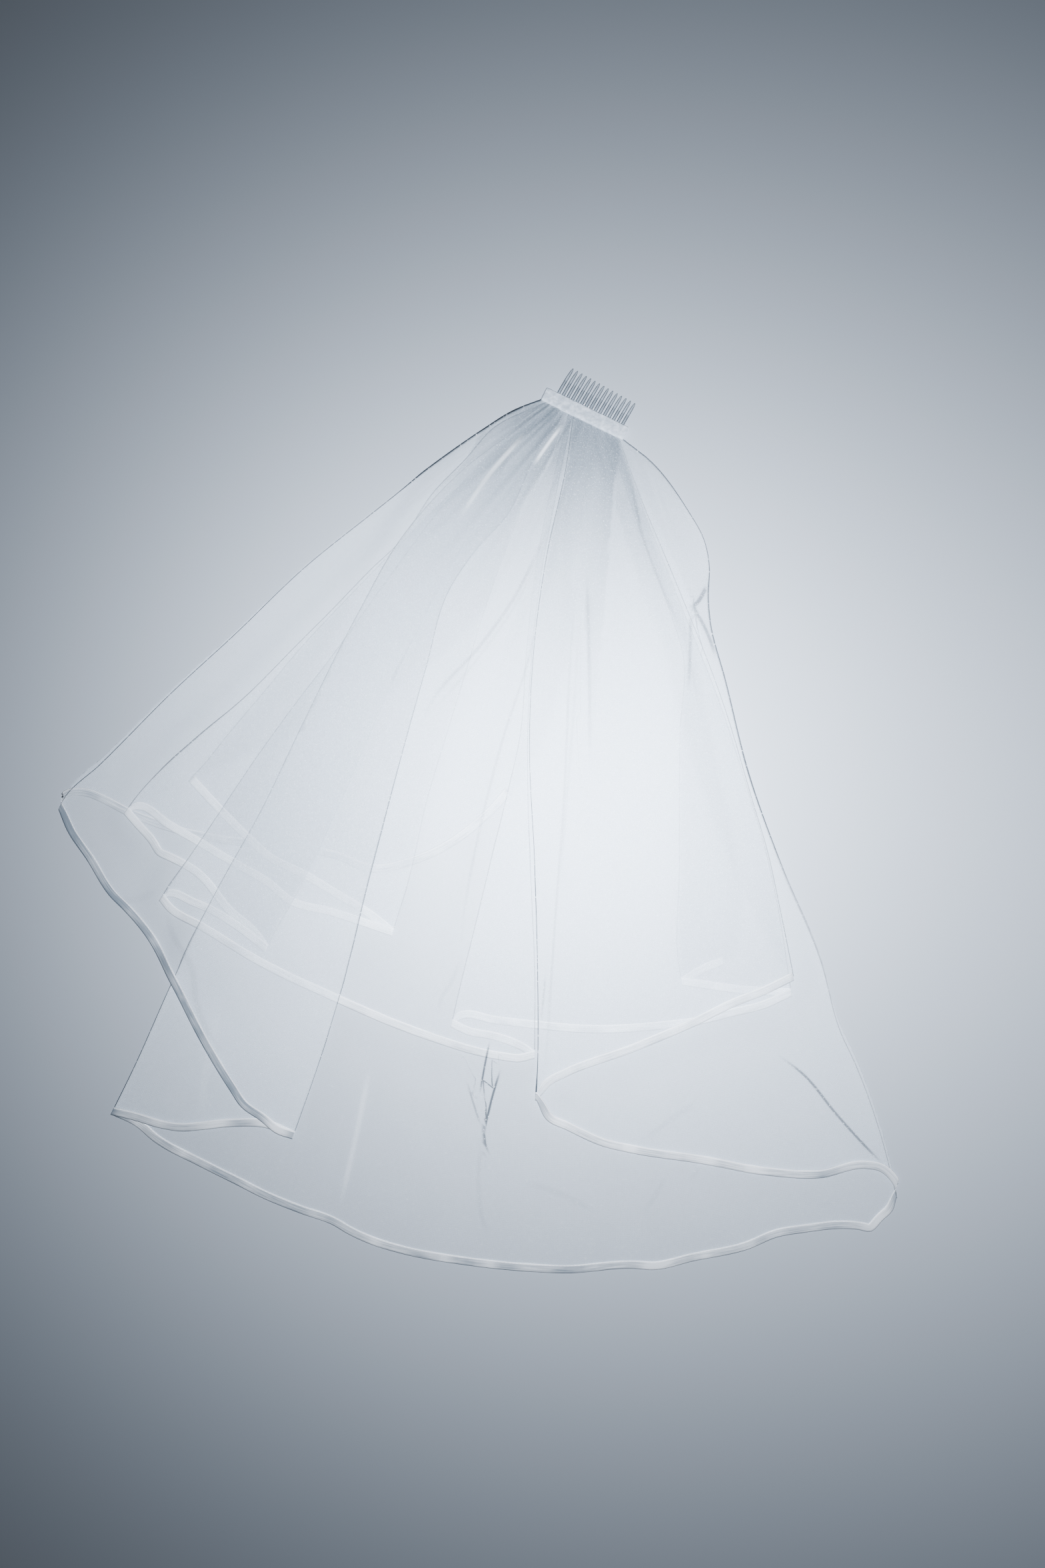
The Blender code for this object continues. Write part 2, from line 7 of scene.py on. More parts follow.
import bmesh
import bpy
import numpy as np
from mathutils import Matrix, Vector


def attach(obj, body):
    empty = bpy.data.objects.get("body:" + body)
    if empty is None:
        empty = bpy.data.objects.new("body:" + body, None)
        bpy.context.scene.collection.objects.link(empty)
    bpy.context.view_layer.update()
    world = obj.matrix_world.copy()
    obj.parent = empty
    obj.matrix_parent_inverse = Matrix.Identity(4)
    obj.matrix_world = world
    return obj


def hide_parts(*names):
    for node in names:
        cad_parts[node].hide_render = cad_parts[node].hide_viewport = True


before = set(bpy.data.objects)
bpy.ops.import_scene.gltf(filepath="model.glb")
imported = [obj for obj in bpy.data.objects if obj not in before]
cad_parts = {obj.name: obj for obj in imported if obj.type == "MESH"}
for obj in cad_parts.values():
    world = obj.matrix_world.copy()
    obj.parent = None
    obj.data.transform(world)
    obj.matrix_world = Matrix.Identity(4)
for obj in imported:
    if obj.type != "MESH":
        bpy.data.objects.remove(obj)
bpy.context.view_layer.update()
print("frame loaded")

mm = 0.001

# How the photograph's pixels lie over the frame
photo = {
    "width": 1568,
    "height": 2352,
    "mmPerPixel": 0.62,
    "originX": 715.7,      # the pixel over the frame's origin
    "originY": 1231.5,
    "cameraHeight": 2200.0,
}

# The two tulle tiers. Each is one cut, folded over and back between the fold lines.
# A fold line runs from the casing to the hem's corner and a hem from one corner to the next,
# both as places read off the photograph, in its pixels.
cloth = {
    "columnStep": 6.0,     # mm between points along a hem
    "longRows": 112,       # points from the casing to a hem
    "shortRows": 92,
    "level": 1.4,          # mm from one lying panel to the next
    "lift": 0.6,           # mm from the surface to the lowest panel
    "foldSwell": 2.0,      # mm that a fold reaches past its line at most
    "neckSqueeze": 0.55,   # how far the stack is pressed together at the casing
    "neckReach": 150.0,    # mm over which it loosens
    "cell": 4.0,           # mm cells of the raster that stacks the panels
    "gatherHeight": 1.7,   # mm, ridges of the gathers at the casing
    "gatherReach": 270.0,
    "closedUnder": 7,      # panels with this many above them are drawn closed: nothing shows through
    "plainPanels": ["A7", "B1"],     # these have a plain cut edge, with no ribbon
    "ribbonFrom": {"A1": 0.44},      # and these have it only from this share of their hem,
    "ribbonTo": {"B10": 0.08},       # or up to this one
}

longFolds = {
    "freeLeft": [(831, 612), (840, 617), (848, 621)],
    "leftOutline": [(813, 603), (770, 620), (725, 648), (650, 700), (560, 770), (460, 850), (350, 955),
                    (262, 1036), (150, 1148), (97, 1198), (88, 1215)],
    "leftFlapInside": [(839, 616), (800, 690), (760, 775), (715, 825), (672, 890), (640, 1000), (598, 1150),
                       (555, 1310), (510, 1490), (480, 1588), (438, 1708)],
    "leftFlapOutside": [(829, 612), (693, 710), (600, 815), (540, 920), (450, 1100), (400, 1205), (320, 1350),
                        (262, 1467), (200, 1605), (167, 1672)],
    "rightOutline": [(932, 661), (980, 700), (1030, 765), (1057, 815), (1063, 850), (1060, 890), (1063, 935),
                     (1085, 1020), (1120, 1160), (1170, 1300), (1230, 1440), (1262, 1552), (1280, 1590),
                     (1320, 1700), (1345, 1797)],
    "rightFlapInside": [(860, 627), (850, 700), (820, 840), (803, 960), (795, 1110), (803, 1300), (807, 1450),
                        (807, 1600), (805, 1650)],
    "rightFlapTuck": [(928, 660), (965, 760), (1006, 858), (1084, 1057), (1130, 1210), (1148, 1270),
                      (1170, 1370), (1190, 1470)],
    "freeRight": [(921, 656), (913, 653), (906, 649)],
}
longHems = {
    "A1": [(858, 820), (850, 992), (809, 1124), (731, 1230), (640, 1290), (553, 1308), (500, 1288), (430, 1275),
           (330, 1265), (240, 1243), (187, 1222), (150, 1203), (130, 1195), (112, 1194), (97, 1200)],
    "A2": [(100, 1245), (130, 1290), (165, 1345), (185, 1365), (215, 1400), (258, 1478), (300, 1560),
           (345, 1635), (362, 1660), (390, 1680), (415, 1700)],
    "A3": [(400, 1692), (350, 1690), (300, 1695), (275, 1697), (240, 1692), (200, 1680)],
    "A4": [(203, 1689), (230, 1712), (300, 1750), (350, 1775), (400, 1800), (450, 1820), (500, 1838), (520, 1850),
           (560, 1868), (600, 1880), (700, 1898), (800, 1908), (850, 1910), (950, 1903), (980, 1905),
           (1040, 1892), (1120, 1875), (1170, 1855), (1200, 1850), (1290, 1845), (1305, 1848), (1325, 1830),
           (1340, 1815)],
    "A5": [(1343, 1785), (1335, 1770), (1320, 1757), (1300, 1753), (1230, 1767), (1150, 1763), (1050, 1745),
           (950, 1730), (900, 1718), (850, 1695), (820, 1680)],
    "A6": [(815, 1640), (825, 1628), (850, 1615), (950, 1578), (1050, 1535), (1100, 1510), (1150, 1490)],
    "A7": [(1158, 1420), (1129, 1368), (1080, 1263), (1041, 1154), (1010, 1042), (985, 928), (959, 814),
           (927, 703)],
}
shortFolds = {
    "freeLeft": [(837, 615), (844, 619), (851, 622)],
    "thirdLeft": [(823, 609), (750, 674), (679, 740), (609, 809), (530, 890), (450, 975), (400, 1035),
                  (345, 1100), (300, 1155), (283, 1172)],
    "innerLeft": [(845, 619), (802, 714), (764, 810), (729, 907), (700, 1000), (670, 1100), (640, 1200),
                  (615, 1310), (587, 1404)],
    "leftOutline": [(817, 606), (740, 645), (700, 690), (650, 742), (600, 815), (560, 853), (500, 915),
                    (450, 965), (365, 1050), (300, 1105), (200, 1203), (187, 1222)],
    "leftTuck": [(833, 613), (765, 708), (702, 805), (646, 906), (595, 1010), (548, 1116), (502, 1222),
                 (445, 1340), (410, 1400), (397, 1428)],
    "leftCorner": [(821, 607), (731, 687), (653, 776), (583, 870), (500, 985), (450, 1050), (400, 1118),
                   (300, 1266), (240, 1352)],
    "centreOutside": [(858, 625), (833, 745), (811, 864), (797, 984), (791, 1104), (792, 1225), (797, 1346),
                      (802, 1467), (801, 1588)],
    "centreInside": [(853, 623), (825, 745), (803, 864), (790, 984), (781, 1104), (762, 1190), (735, 1300),
                     (712, 1395), (691, 1480), (677, 1541)],
    "rightOutline": [(926, 659), (963, 762), (1003, 864), (1083, 1068), (1128, 1210), (1146, 1270),
                     (1168, 1370), (1187, 1495)],
    "rightTuck": [(907, 649), (935, 720), (955, 780), (985, 860), (1010, 930), (1025, 980), (1021, 1100),
                  (1020, 1300), (1021, 1460), (1025, 1478)],
    "freeRight": [(909, 650), (916, 654), (923, 658)],
}
shortHems = {
    "B1": [(832, 684), (789, 802), (732, 906), (657, 990), (562, 1054), (453, 1104), (365, 1135)],
    "B2": [(325, 1218), (365, 1258), (400, 1290), (455, 1318), (500, 1345), (545, 1372)],
    "B3": [(540, 1388), (500, 1375), (430, 1355), (400, 1330), (345, 1298), (290, 1265), (250, 1242), (205, 1215)],
    "B4": [(205, 1243), (222, 1262), (237, 1284), (250, 1290), (290, 1312), (345, 1375), (370, 1395)],
    "B5": [(350, 1392), (310, 1368), (290, 1360), (247, 1347)],
    "B6": [(250, 1365), (300, 1395), (400, 1455), (500, 1502), (600, 1545), (650, 1563), (750, 1590), (780, 1593)],
    "B7": [(780, 1575), (740, 1560), (700, 1552)],
    "B8": [(690, 1530), (740, 1536), (800, 1543), (900, 1550), (975, 1546), (1050, 1537), (1100, 1525),
           (1150, 1512)],
    "B9": [(1106, 1490)],
    "B10": [(1060, 1458), (1096, 1440), (1110, 1400), (1108, 1300), (1090, 1200), (1060, 1080), (1045, 996),
            (1005, 883), (963, 771)],
}

# All panels from the lowest to the highest, as they lie on each other
stackOrder = "A1 B1 B2 B3 B4 B5 B10 B9 B8 B7 B6 A4 A3 A2 A7 A6 A5".split()

# How dark a fold's line is from the casing to the hem, as denser net and painted shade
longFoldTones = {
    "freeLeft": [0.1, 0.1],
    "leftOutline": [0.9, 1.0, 0.9, 0.9, 1.2],
    "leftFlapInside": [0.1, 0.35, 0.5, 0.5, 0.6],
    "leftFlapOutside": [0.2, 0.5, 0.45, 0.5, 1.5],
    "rightOutline": [0.5, 0.6, 0.7, 0.9, 0.9],
    "rightFlapInside": [0.5, 0.5, 0.5, 1.0, 1.6],
    "rightFlapTuck": [0.3, 0.5, 0.5, 0.7, 0.8],
    "freeRight": [0.1, 0.1],
}
shortFoldTones = {
    "freeLeft": [0.1, 0.1],
    "thirdLeft": [0.1, 0.3, 0.5, 0.5],
    "innerLeft": [0.1, 0.2, 0.35, 0.45],
    "leftOutline": [0.4, 0.5, 0.6, 0.8],
    "leftTuck": [0.0, 0.1, 0.1, 0.3],
    "leftCorner": [0.1, 0.2, 0.4, 0.5],
    "centreOutside": [0.2, 0.2, 0.4, 0.5],
    "centreInside": [0.1, 0.2, 0.6, 0.7],
    "rightOutline": [0.3, 0.5, 0.5, 0.6],
    "rightTuck": [0.5, 0.6, 0.4, 0.4],
    "freeRight": [0.1, 0.1],
}

# Creases: the panel, the line in pixels, its width in mm, its ridge in mm, and its tone,
# which above 0 is painted shade and below 0 a painted highlight, on top of denser net
creases = [
    ("A5", [(1163, 1579), (1206, 1612), (1253, 1669), (1300, 1721), (1333, 1754)], 1.2, 0.8, 1.4),
    ("A5", [(1050, 1650), (1005, 1680), (960, 1715)], 3.0, 0.5, 0.35),
    ("A4", [(735, 1560), (727, 1600), (720, 1640)], 0.9, 0.6, 1.9),
    ("A4", [(752, 1600), (735, 1660), (727, 1710), (735, 1735)], 1.0, 0.8, 2.0),
    ("A4", [(700, 1620), (712, 1660), (722, 1690)], 1.0, 0.5, 1.0),
    ("A4", [(725, 1700), (718, 1760), (722, 1820), (735, 1865)], 2.2, 0.8, 0.4),
    ("A4", [(555, 1600), (535, 1700), (510, 1810)], 2.2, 0.6, -0.8),
    ("A4", [(780, 1770), (840, 1790), (900, 1820)], 3.0, 0.6, 0.35),
    ("A4", [(1000, 1760), (985, 1790), (965, 1820)], 2.5, 0.6, 0.35),
    ("A4", [(1050, 1750), (1035, 1770)], 2.0, 0.5, 0.35),
    ("A2", [(250, 1350), (260, 1400), (290, 1450), (295, 1500), (320, 1560), (345, 1590)], 3.0, 0.7, 0.4),
    ("A2", [(150, 1345), (200, 1350), (240, 1335)], 3.0, 0.5, 0.3),
    ("A3", [(300, 1690), (310, 1600), (330, 1500)], 4.0, 0.5, -0.3),
    ("B6", [(820, 830), (812, 900), (790, 1000), (757, 1100), (730, 1200), (708, 1300), (693, 1400), (692, 1434)],
     1.3, 0.6, 0.7),
    ("B6", [(692, 1434), (679, 1469), (663, 1496), (656, 1519)], 2.0, 0.5, 0.5),
    ("A4", [(820, 800), (770, 900), (720, 970), (650, 1050), (630, 1090)], 1.6, 0.7, 0.7),
    ("B6", [(812, 830), (775, 905), (745, 950), (700, 1010), (640, 1075)], 1.4, 0.6, 0.5),
    ("A5", [(880, 850), (884, 1000), (885, 1160)], 1.5, 0.5, 0.5),
    ("A5", [(862, 900), (855, 1000), (846, 1200), (835, 1350), (825, 1500), (815, 1640)], 1.2, 0.5, 0.6),
    ("A6", [(870, 900), (862, 1050), (850, 1200), (838, 1350)], 1.4, 0.5, 0.5),
    ("A4", [(819, 1457), (815, 1500), (812, 1530)], 1.0, 0.5, 1.0),
    ("A5", [(932, 680), (945, 720), (965, 810), (1000, 900), (1027, 960)], 1.5, 0.5, 0.6),
    ("A5", [(1060, 878), (1052, 895), (1042, 908), (1031, 912)], 2.0, 0.8, 1.3),
    ("A5", [(1034, 908), (1050, 930), (1062, 955), (1074, 990)], 1.8, 0.6, 1.1),
    ("A5", [(1035, 914), (1035, 950), (1034, 990), (1032, 1040)], 1.6, 0.6, 0.9),
    ("A4", [(843, 640), (822, 668), (800, 700)], 1.6, 0.8, -1.0),
    ("A2", [(790, 650), (730, 720), (690, 780)], 2.0, 0.7, -0.7),
    ("A2", [(820, 720), (790, 750), (760, 785)], 1.6, 0.7, 0.7),
]

# Pleats that start at the casing and lie as extra net with painted shade: the panel, the pleat's sharp edge in
# pixels, how many mm it reaches from there (below 0 towards the left), and its strength
pleats = [
    ("A5", [(930, 664), (925, 700), (918, 760), (912, 850), (905, 930), (898, 1030), (893, 1120)], -45.0, 0.6),
    ("A5", [(862, 640), (852, 700), (836, 770), (822, 840), (810, 930), (804, 1010)], 28.0, 0.45),
    ("A5", [(928, 672), (940, 712), (952, 750), (970, 830), (990, 880), (1010, 925), (1024, 955)], -22.0, 0.4),
    ("A5", [(924, 765), (940, 815), (960, 880), (985, 965), (1000, 1050)], 20.0, 0.3),
    ("A5", [(877, 900), (878, 960), (880, 1035), (884, 1160)], 12.0, 0.3),
    ("A5", [(867, 895), (860, 960), (850, 1035), (842, 1100)], -16.0, 0.25),
    ("A2", [(813, 607), (738, 629), (695, 700), (645, 746), (620, 786), (590, 840)], 40.0, 0.55),
    ("A2", [(806, 632), (777, 668), (756, 707), (727, 757)], -25.0, 0.45),
    ("A2", [(700, 850), (660, 930), (630, 1010)], -30.0, 0.2),
    ("A4", [(843, 643), (820, 700), (798, 736), (766, 771)], -25.0, 0.5),
    ("A4", [(846, 640), (824, 700), (806, 736)], 18.0, 0.5),
    ("A4", [(815, 800), (790, 880), (760, 960), (735, 1040)], 16.0, 0.3),
]

ribbon = {
    "width": 8.0,          # mm
    "thickness": 0.9,
    "step": 4.0,           # mm between its sections
    "stitchLength": 2.0,
    "stitchGap": 1.4,
    "stitchInset": 6.9,    # mm from the outer edge to the row of stitches
}

# How much painted light the satin gets on each panel, and how strong the painted shade along its outer edge
ribbonTones = {
    "A1": (0.4, 0.1), "A2": (0.15, 0.8), "A3": (0.5, 0.6), "A4": (0.45, 0.5), "A5": (0.6, 0.5), "A6": (0.75, 0.3),
    "B2": (0.85, 0.2), "B3": (0.95, 0.3), "B4": (0.85, 0.5), "B5": (0.85, 0.3), "B6": (0.85, 0.5),
    "B7": (0.8, 0.3), "B8": (0.8, 0.4), "B9": (0.9, 0.3), "B10": (0.9, 0.2),
}
# Where the satin turns and catches the light, or lies in shade below 0: a place in pixels,
# the reach in mm, and the strength
ribbonLights = [
    ((88, 1222), 9.0, -0.5), ((170, 1193), 10.0, 0.3), ((167, 1674), 6.0, -1.0), ((412, 1694), 13.0, 0.9),
    ((203, 1690), 6.0, 0.5), ((270, 1735), 6.0, 0.6), ((560, 1868), 7.0, 0.6), ((665, 1888), 6.0, 0.5),
    ((735, 1904), 7.0, 0.6), ((985, 1903), 16.0, 0.8), ((1060, 1890), 8.0, 0.6), ((1125, 1877), 9.0, 0.6),
    ((1325, 1832), 13.0, 0.9), ((1345, 1790), 8.0, -0.4), ((805, 1655), 8.0, -0.5), ((835, 1690), 8.0, 0.7),
    ((945, 1722), 7.0, 0.7), ((1060, 1745), 10.0, 0.4), ((1130, 1757), 9.0, 0.4), ((240, 1692), 8.0, 0.4),
    ((330, 1693), 12.0, 0.5), ((1240, 1767), 12.0, -0.3), ((400, 1800), 12.0, -0.2), ((850, 1912), 14.0, -0.2),
]


def unselectAll():
    bpy.ops.object.select_all(action="DESELECT")


def toFrame(points):
    # Pixels of the photograph to millimetres in the frame
    points = np.array(points, float)
    return (points - (photo["originX"], photo["originY"])) * (photo["mmPerPixel"], -photo["mmPerPixel"])


def lengthsAlong(points):
    return np.r_[0.0, np.cumsum(np.linalg.norm(np.diff(points, axis=0), axis=1))]


def smoothLine(points, count):
    # Evenly spaced points on a smooth curve through the given ones
    points = np.asarray(points, float)
    steps = np.linalg.norm(np.diff(points, axis=0), axis=1)[:, None]
    slopes = np.diff(points, axis=0) / steps
    middle = (slopes[:-1] * steps[1:] + slopes[1:] * steps[:-1]) / (steps[1:] + steps[:-1])
    tangents = np.vstack([slopes[:1], middle, slopes[-1:]])
    t = np.linspace(0, 1, 14, endpoint=False)[:, None]
    run = []
    for a, b, ta, tb, h in zip(points, points[1:], tangents, tangents[1:], steps):
        run.append(a * (2 * t**3 - 3 * t**2 + 1) + b * (3 * t**2 - 2 * t**3)
                   + h * (ta * (t**3 - 2 * t**2 + t) + tb * (t**3 - t**2)))
    run = np.vstack(run + [points[-1:]])
    return atPlaces(run, np.linspace(0, 1, count))


def atPlaces(line, places):
    # A line read again at the given shares of its length
    away = lengthsAlong(line)
    return np.column_stack([np.interp(places * away[-1], away, line[:, i]) for i in range(2)])


def insideLoop(x, y, loop):
    hit = np.zeros(x.shape, bool)
    for (x1, y1), (x2, y2) in zip(loop, np.roll(loop, -1, axis=0)):
        if y1 != y2:
            hit ^= ((y1 > y) != (y2 > y)) & (x < (x2 - x1) * (y - y1) / (y2 - y1) + x1)
    return hit


def buildPanels(folds, hems, tones):
    # Every panel's fold lines and hem, in millimetres
    lines = {name: smoothLine(toFrame(points), 400) for name, points in folds.items()}
    names = list(folds)
    panels = {}
    for (name, points), before, after in zip(hems.items(), names, names[1:]):
        corners = [folds[before][-1]] + points + [folds[after][-1]]
        hem = smoothLine(toFrame(corners), 600)
        panels[name] = {"before": lines[before], "after": lines[after], "hem": hem, "name": name,
                        "toneBefore": tones[before], "toneAfter": tones[after]}
        panels[name]["loop"] = np.vstack([lines[before][::5], hem[::6], lines[after][::-5]])
    return panels


longPanels = buildPanels(longFolds, longHems, longFoldTones)
shortPanels = buildPanels(shortFolds, shortHems, shortFoldTones)
allPanels = {**longPanels, **shortPanels}


def gatherRelief(x, y):
    # Soft ridges that fan out from the casing and die away, uneven in height and spacing
    left, right = toFrame([longFolds["leftOutline"][0], longFolds["rightOutline"][0]])
    along = (right - left) / np.linalg.norm(right - left)
    focus = (left + right) / 2 - np.array([along[1], -along[0]]) * 60.0
    away = np.hypot(x - focus[0], y - focus[1]) - 60.0
    bearing = np.arctan2(y - focus[1], x - focus[0])
    wave = (np.sin(bearing * 47 + 0.6) + 0.7 * np.sin(bearing * 83 + 2.1) + 0.5 * np.sin(bearing * 131 + 4.0))
    fade = np.clip(1 - away / cloth["gatherReach"], 0, 1) ** 1.6
    return cloth["gatherHeight"] * fade * (wave / 2.2 + 1) / 2


def lineDistance(x, y, line):
    # The signed distance from a line, and the share of its length at the nearest place
    best = np.full(x.shape, 1e9)
    signed = np.zeros(x.shape)
    share = np.zeros(x.shape)
    away = lengthsAlong(line)
    for i, (a, b) in enumerate(zip(line, line[1:])):
        d = b - a
        size = d @ d
        t = np.clip(((x - a[0]) * d[0] + (y - a[1]) * d[1]) / size, 0, 1)
        dx, dy = x - a[0] - t * d[0], y - a[1] - t * d[1]
        far = np.hypot(dx, dy)
        closer = far < best
        side = np.sign(d[0] * dy - d[1] * dx)
        best = np.where(closer, far, best)
        signed = np.where(closer, far * side, signed)
        share = np.where(closer, (away[i] + t * np.sqrt(size)) / away[-1], share)
    return signed, share


def stackPanels():
    # The height of every panel, on a raster: each lies softly on all that is below it
    cell = cloth["cell"]
    xs = np.arange(-424, 428, cell)
    ys = np.arange(-444, 428, cell)
    x, y = np.meshgrid(xs, ys)
    top = np.zeros(x.shape)
    heights = {}
    for name in stackOrder:
        panel = allPanels[name]
        spread = np.pad(top, 3, mode="edge")
        rows, columns = top.shape
        wide = np.max([spread[i:i + rows, j:j + columns] for i in range(7) for j in range(7)], axis=0)
        for _ in range(3):
            edge = np.pad(wide, 1, mode="edge")
            wide = sum(edge[i:i + rows, j:j + columns] for i in range(3) for j in range(3)) / 9
        for crease in creases:
            if crease[0] == name:
                signed, share = lineDistance(x, y, smoothLine(toFrame(crease[1]), 24))
                ends = np.clip(np.minimum(share, 1 - share) * 6, 0, 1)
                wide = wide + crease[3] * np.exp(-(signed / (crease[2] + cell)) ** 2) * ends
        heights[name] = wide
        covered = insideLoop(x, y, panel["loop"])
        top = np.where(covered, np.maximum(top, wide + cloth["level"]), top)
    return xs, ys, heights


stackX, stackY, stackHeight = stackPanels()
print("panels stacked, highest at", round(max(h.max() for h in stackHeight.values()), 1), "mm")


def heightAt(name, x, y):
    # A panel's height: its place in the stack, pressed together at the neck, and the gathers
    u = np.clip((x - stackX[0]) / cloth["cell"], 0, len(stackX) - 1.001)
    v = np.clip((y - stackY[0]) / cloth["cell"], 0, len(stackY) - 1.001)
    i, j = u.astype(int), v.astype(int)
    fu, fv = u - i, v - j
    h = stackHeight[name]
    z = (h[j, i] * (1 - fu) * (1 - fv) + h[j, i + 1] * fu * (1 - fv)
         + h[j + 1, i] * (1 - fu) * fv + h[j + 1, i + 1] * fu * fv)
    neck = toFrame([(872, 632)])[0]
    away = np.clip(np.hypot(x - neck[0], y - neck[1]) / cloth["neckReach"], 0, 1)
    squeeze = cloth["neckSqueeze"] + (1 - cloth["neckSqueeze"]) * away * away * (3 - 2 * away)
    base = 2.0 * (1 - away) ** 2
    return cloth["lift"] + base + z * squeeze + gatherRelief(x, y)


def hemInward(panel, places, depth):
    # The hem's line moved in by a depth, its ends running along the two fold lines
    outer = atPlaces(panel["hem"], places)
    away = lengthsAlong(outer)
    directions = np.gradient(outer, axis=0)
    directions /= np.linalg.norm(directions, axis=1)[:, None]
    seats = (panel["before"][0] + panel["after"][0]) / 2
    square = np.column_stack([-directions[:, 1], directions[:, 0]])
    first, last = panel["hem"][0], panel["hem"][-1]
    turn = (last[0] - first[0]) * (seats[1] - first[1]) - (last[1] - first[1]) * (seats[0] - first[0])
    square *= 1.0 if turn > 0 else -1.0
    total = lengthsAlong(panel["hem"])[-1]
    away = away + places[0] * total
    for line, place in ((panel["before"], away), (panel["after"], total - away)):
        back = np.linalg.norm(line[-1] - line, axis=1)
        inward = line[np.flatnonzero(back >= depth)[-1]] - line[-1]
        inward /= np.linalg.norm(inward)
        share = np.clip(1 - place / 18.0, 0, 1)[:, None]
        square = square * (1 - share) + inward * share
    square /= np.linalg.norm(square, axis=1)[:, None]
    return outer + square * depth


def panelGrid(panel, rows, depth):
    # A panel's columns, from the casing down to just inside its ribbon
    length = lengthsAlong(panel["hem"])[-1]
    count = max(5, round(length / cloth["columnStep"]))
    inner = [0.1, 0.25] if count > 8 else []
    shares = np.r_[0.0, inner, np.arange(1, count - 1), [count - 1 - i for i in inner[::-1]], count - 1]
    shares = np.sort(shares) / (count - 1)
    hem = hemInward(panel, shares, depth)
    u = shares[:, None, None]
    v = np.linspace(0, 1, rows)[None, :, None]
    sides = []
    for name in ("before", "after"):
        line = panel[name]
        keep = np.linalg.norm(line - line[-1], axis=1) >= min(depth, 3.9)
        sides.append(atPlaces(line[keep], np.linspace(0, 1, rows))[None])
    hem[0], hem[-1] = sides[0][0, -1], sides[1][0, -1]
    chord = hem[0] * (1 - u[:, 0]) + hem[-1] * u[:, 0]
    grid = sides[0] * (1 - u) + sides[1] * u + v * (hem - chord)[:, None, :]
    return grid, length, shares


def outwardOf(panel, line):
    # Which way a fold swells: away from the panels that it joins
    directions = np.gradient(line, axis=0)
    directions /= np.maximum(np.linalg.norm(directions, axis=1), 1e-6)[:, None]
    square = np.column_stack([-directions[:, 1], directions[:, 0]])
    turn = (panel["hem"][300] - line[-1]) @ square[-1]
    return square * (-1.0 if turn > 0 else 1.0)


def foldColumns(before, after, beforeZ, afterZ, outward):
    # The rounded fold between two panels' last and first columns
    rise = (afterZ - beforeZ) / 2
    reach = np.minimum(np.abs(rise), cloth["foldSwell"])
    columns = []
    for k in range(1, 4):
        angle = math.pi * k / 4
        place = (before + after) / 2 + outward * (reach * math.sin(angle))[:, None]
        columns.append((place, (beforeZ + afterZ) / 2 - rise * math.cos(angle), reach * (1 - math.sin(angle))))
    return columns


def gridFaces(columns, rows):
    return [(c * rows + r, c * rows + r + 1, (c + 1) * rows + r + 1, (c + 1) * rows + r)
            for c in range(columns - 1) for r in range(rows - 1)]


def newPiece(name, points, faces, uv, attributes, material):
    # A smooth-shaded mesh with its cloth coordinates and its own attributes
    mesh = bpy.data.meshes.new(name)
    mesh.from_pydata([tuple(p) for p in points], [], faces)
    layer = mesh.uv_layers.new(name="cloth")
    loops = np.zeros(len(mesh.loops), int)
    mesh.loops.foreach_get("vertex_index", loops)
    layer.data.foreach_set("uv", uv[loops].astype(np.float32).ravel())
    for key, values in attributes.items():
        mesh.attributes.new(key, "FLOAT", "POINT").data.foreach_set("value", values.astype(np.float32))
    mesh.shade_smooth()
    mesh.materials.append(material)
    piece = bpy.data.objects.new(name, mesh)
    bpy.context.scene.collection.objects.link(piece)
    return piece


def foldToneAt(tones, rows):
    return np.interp(np.linspace(0, 1, rows), np.linspace(0, 1, len(tones)), tones)


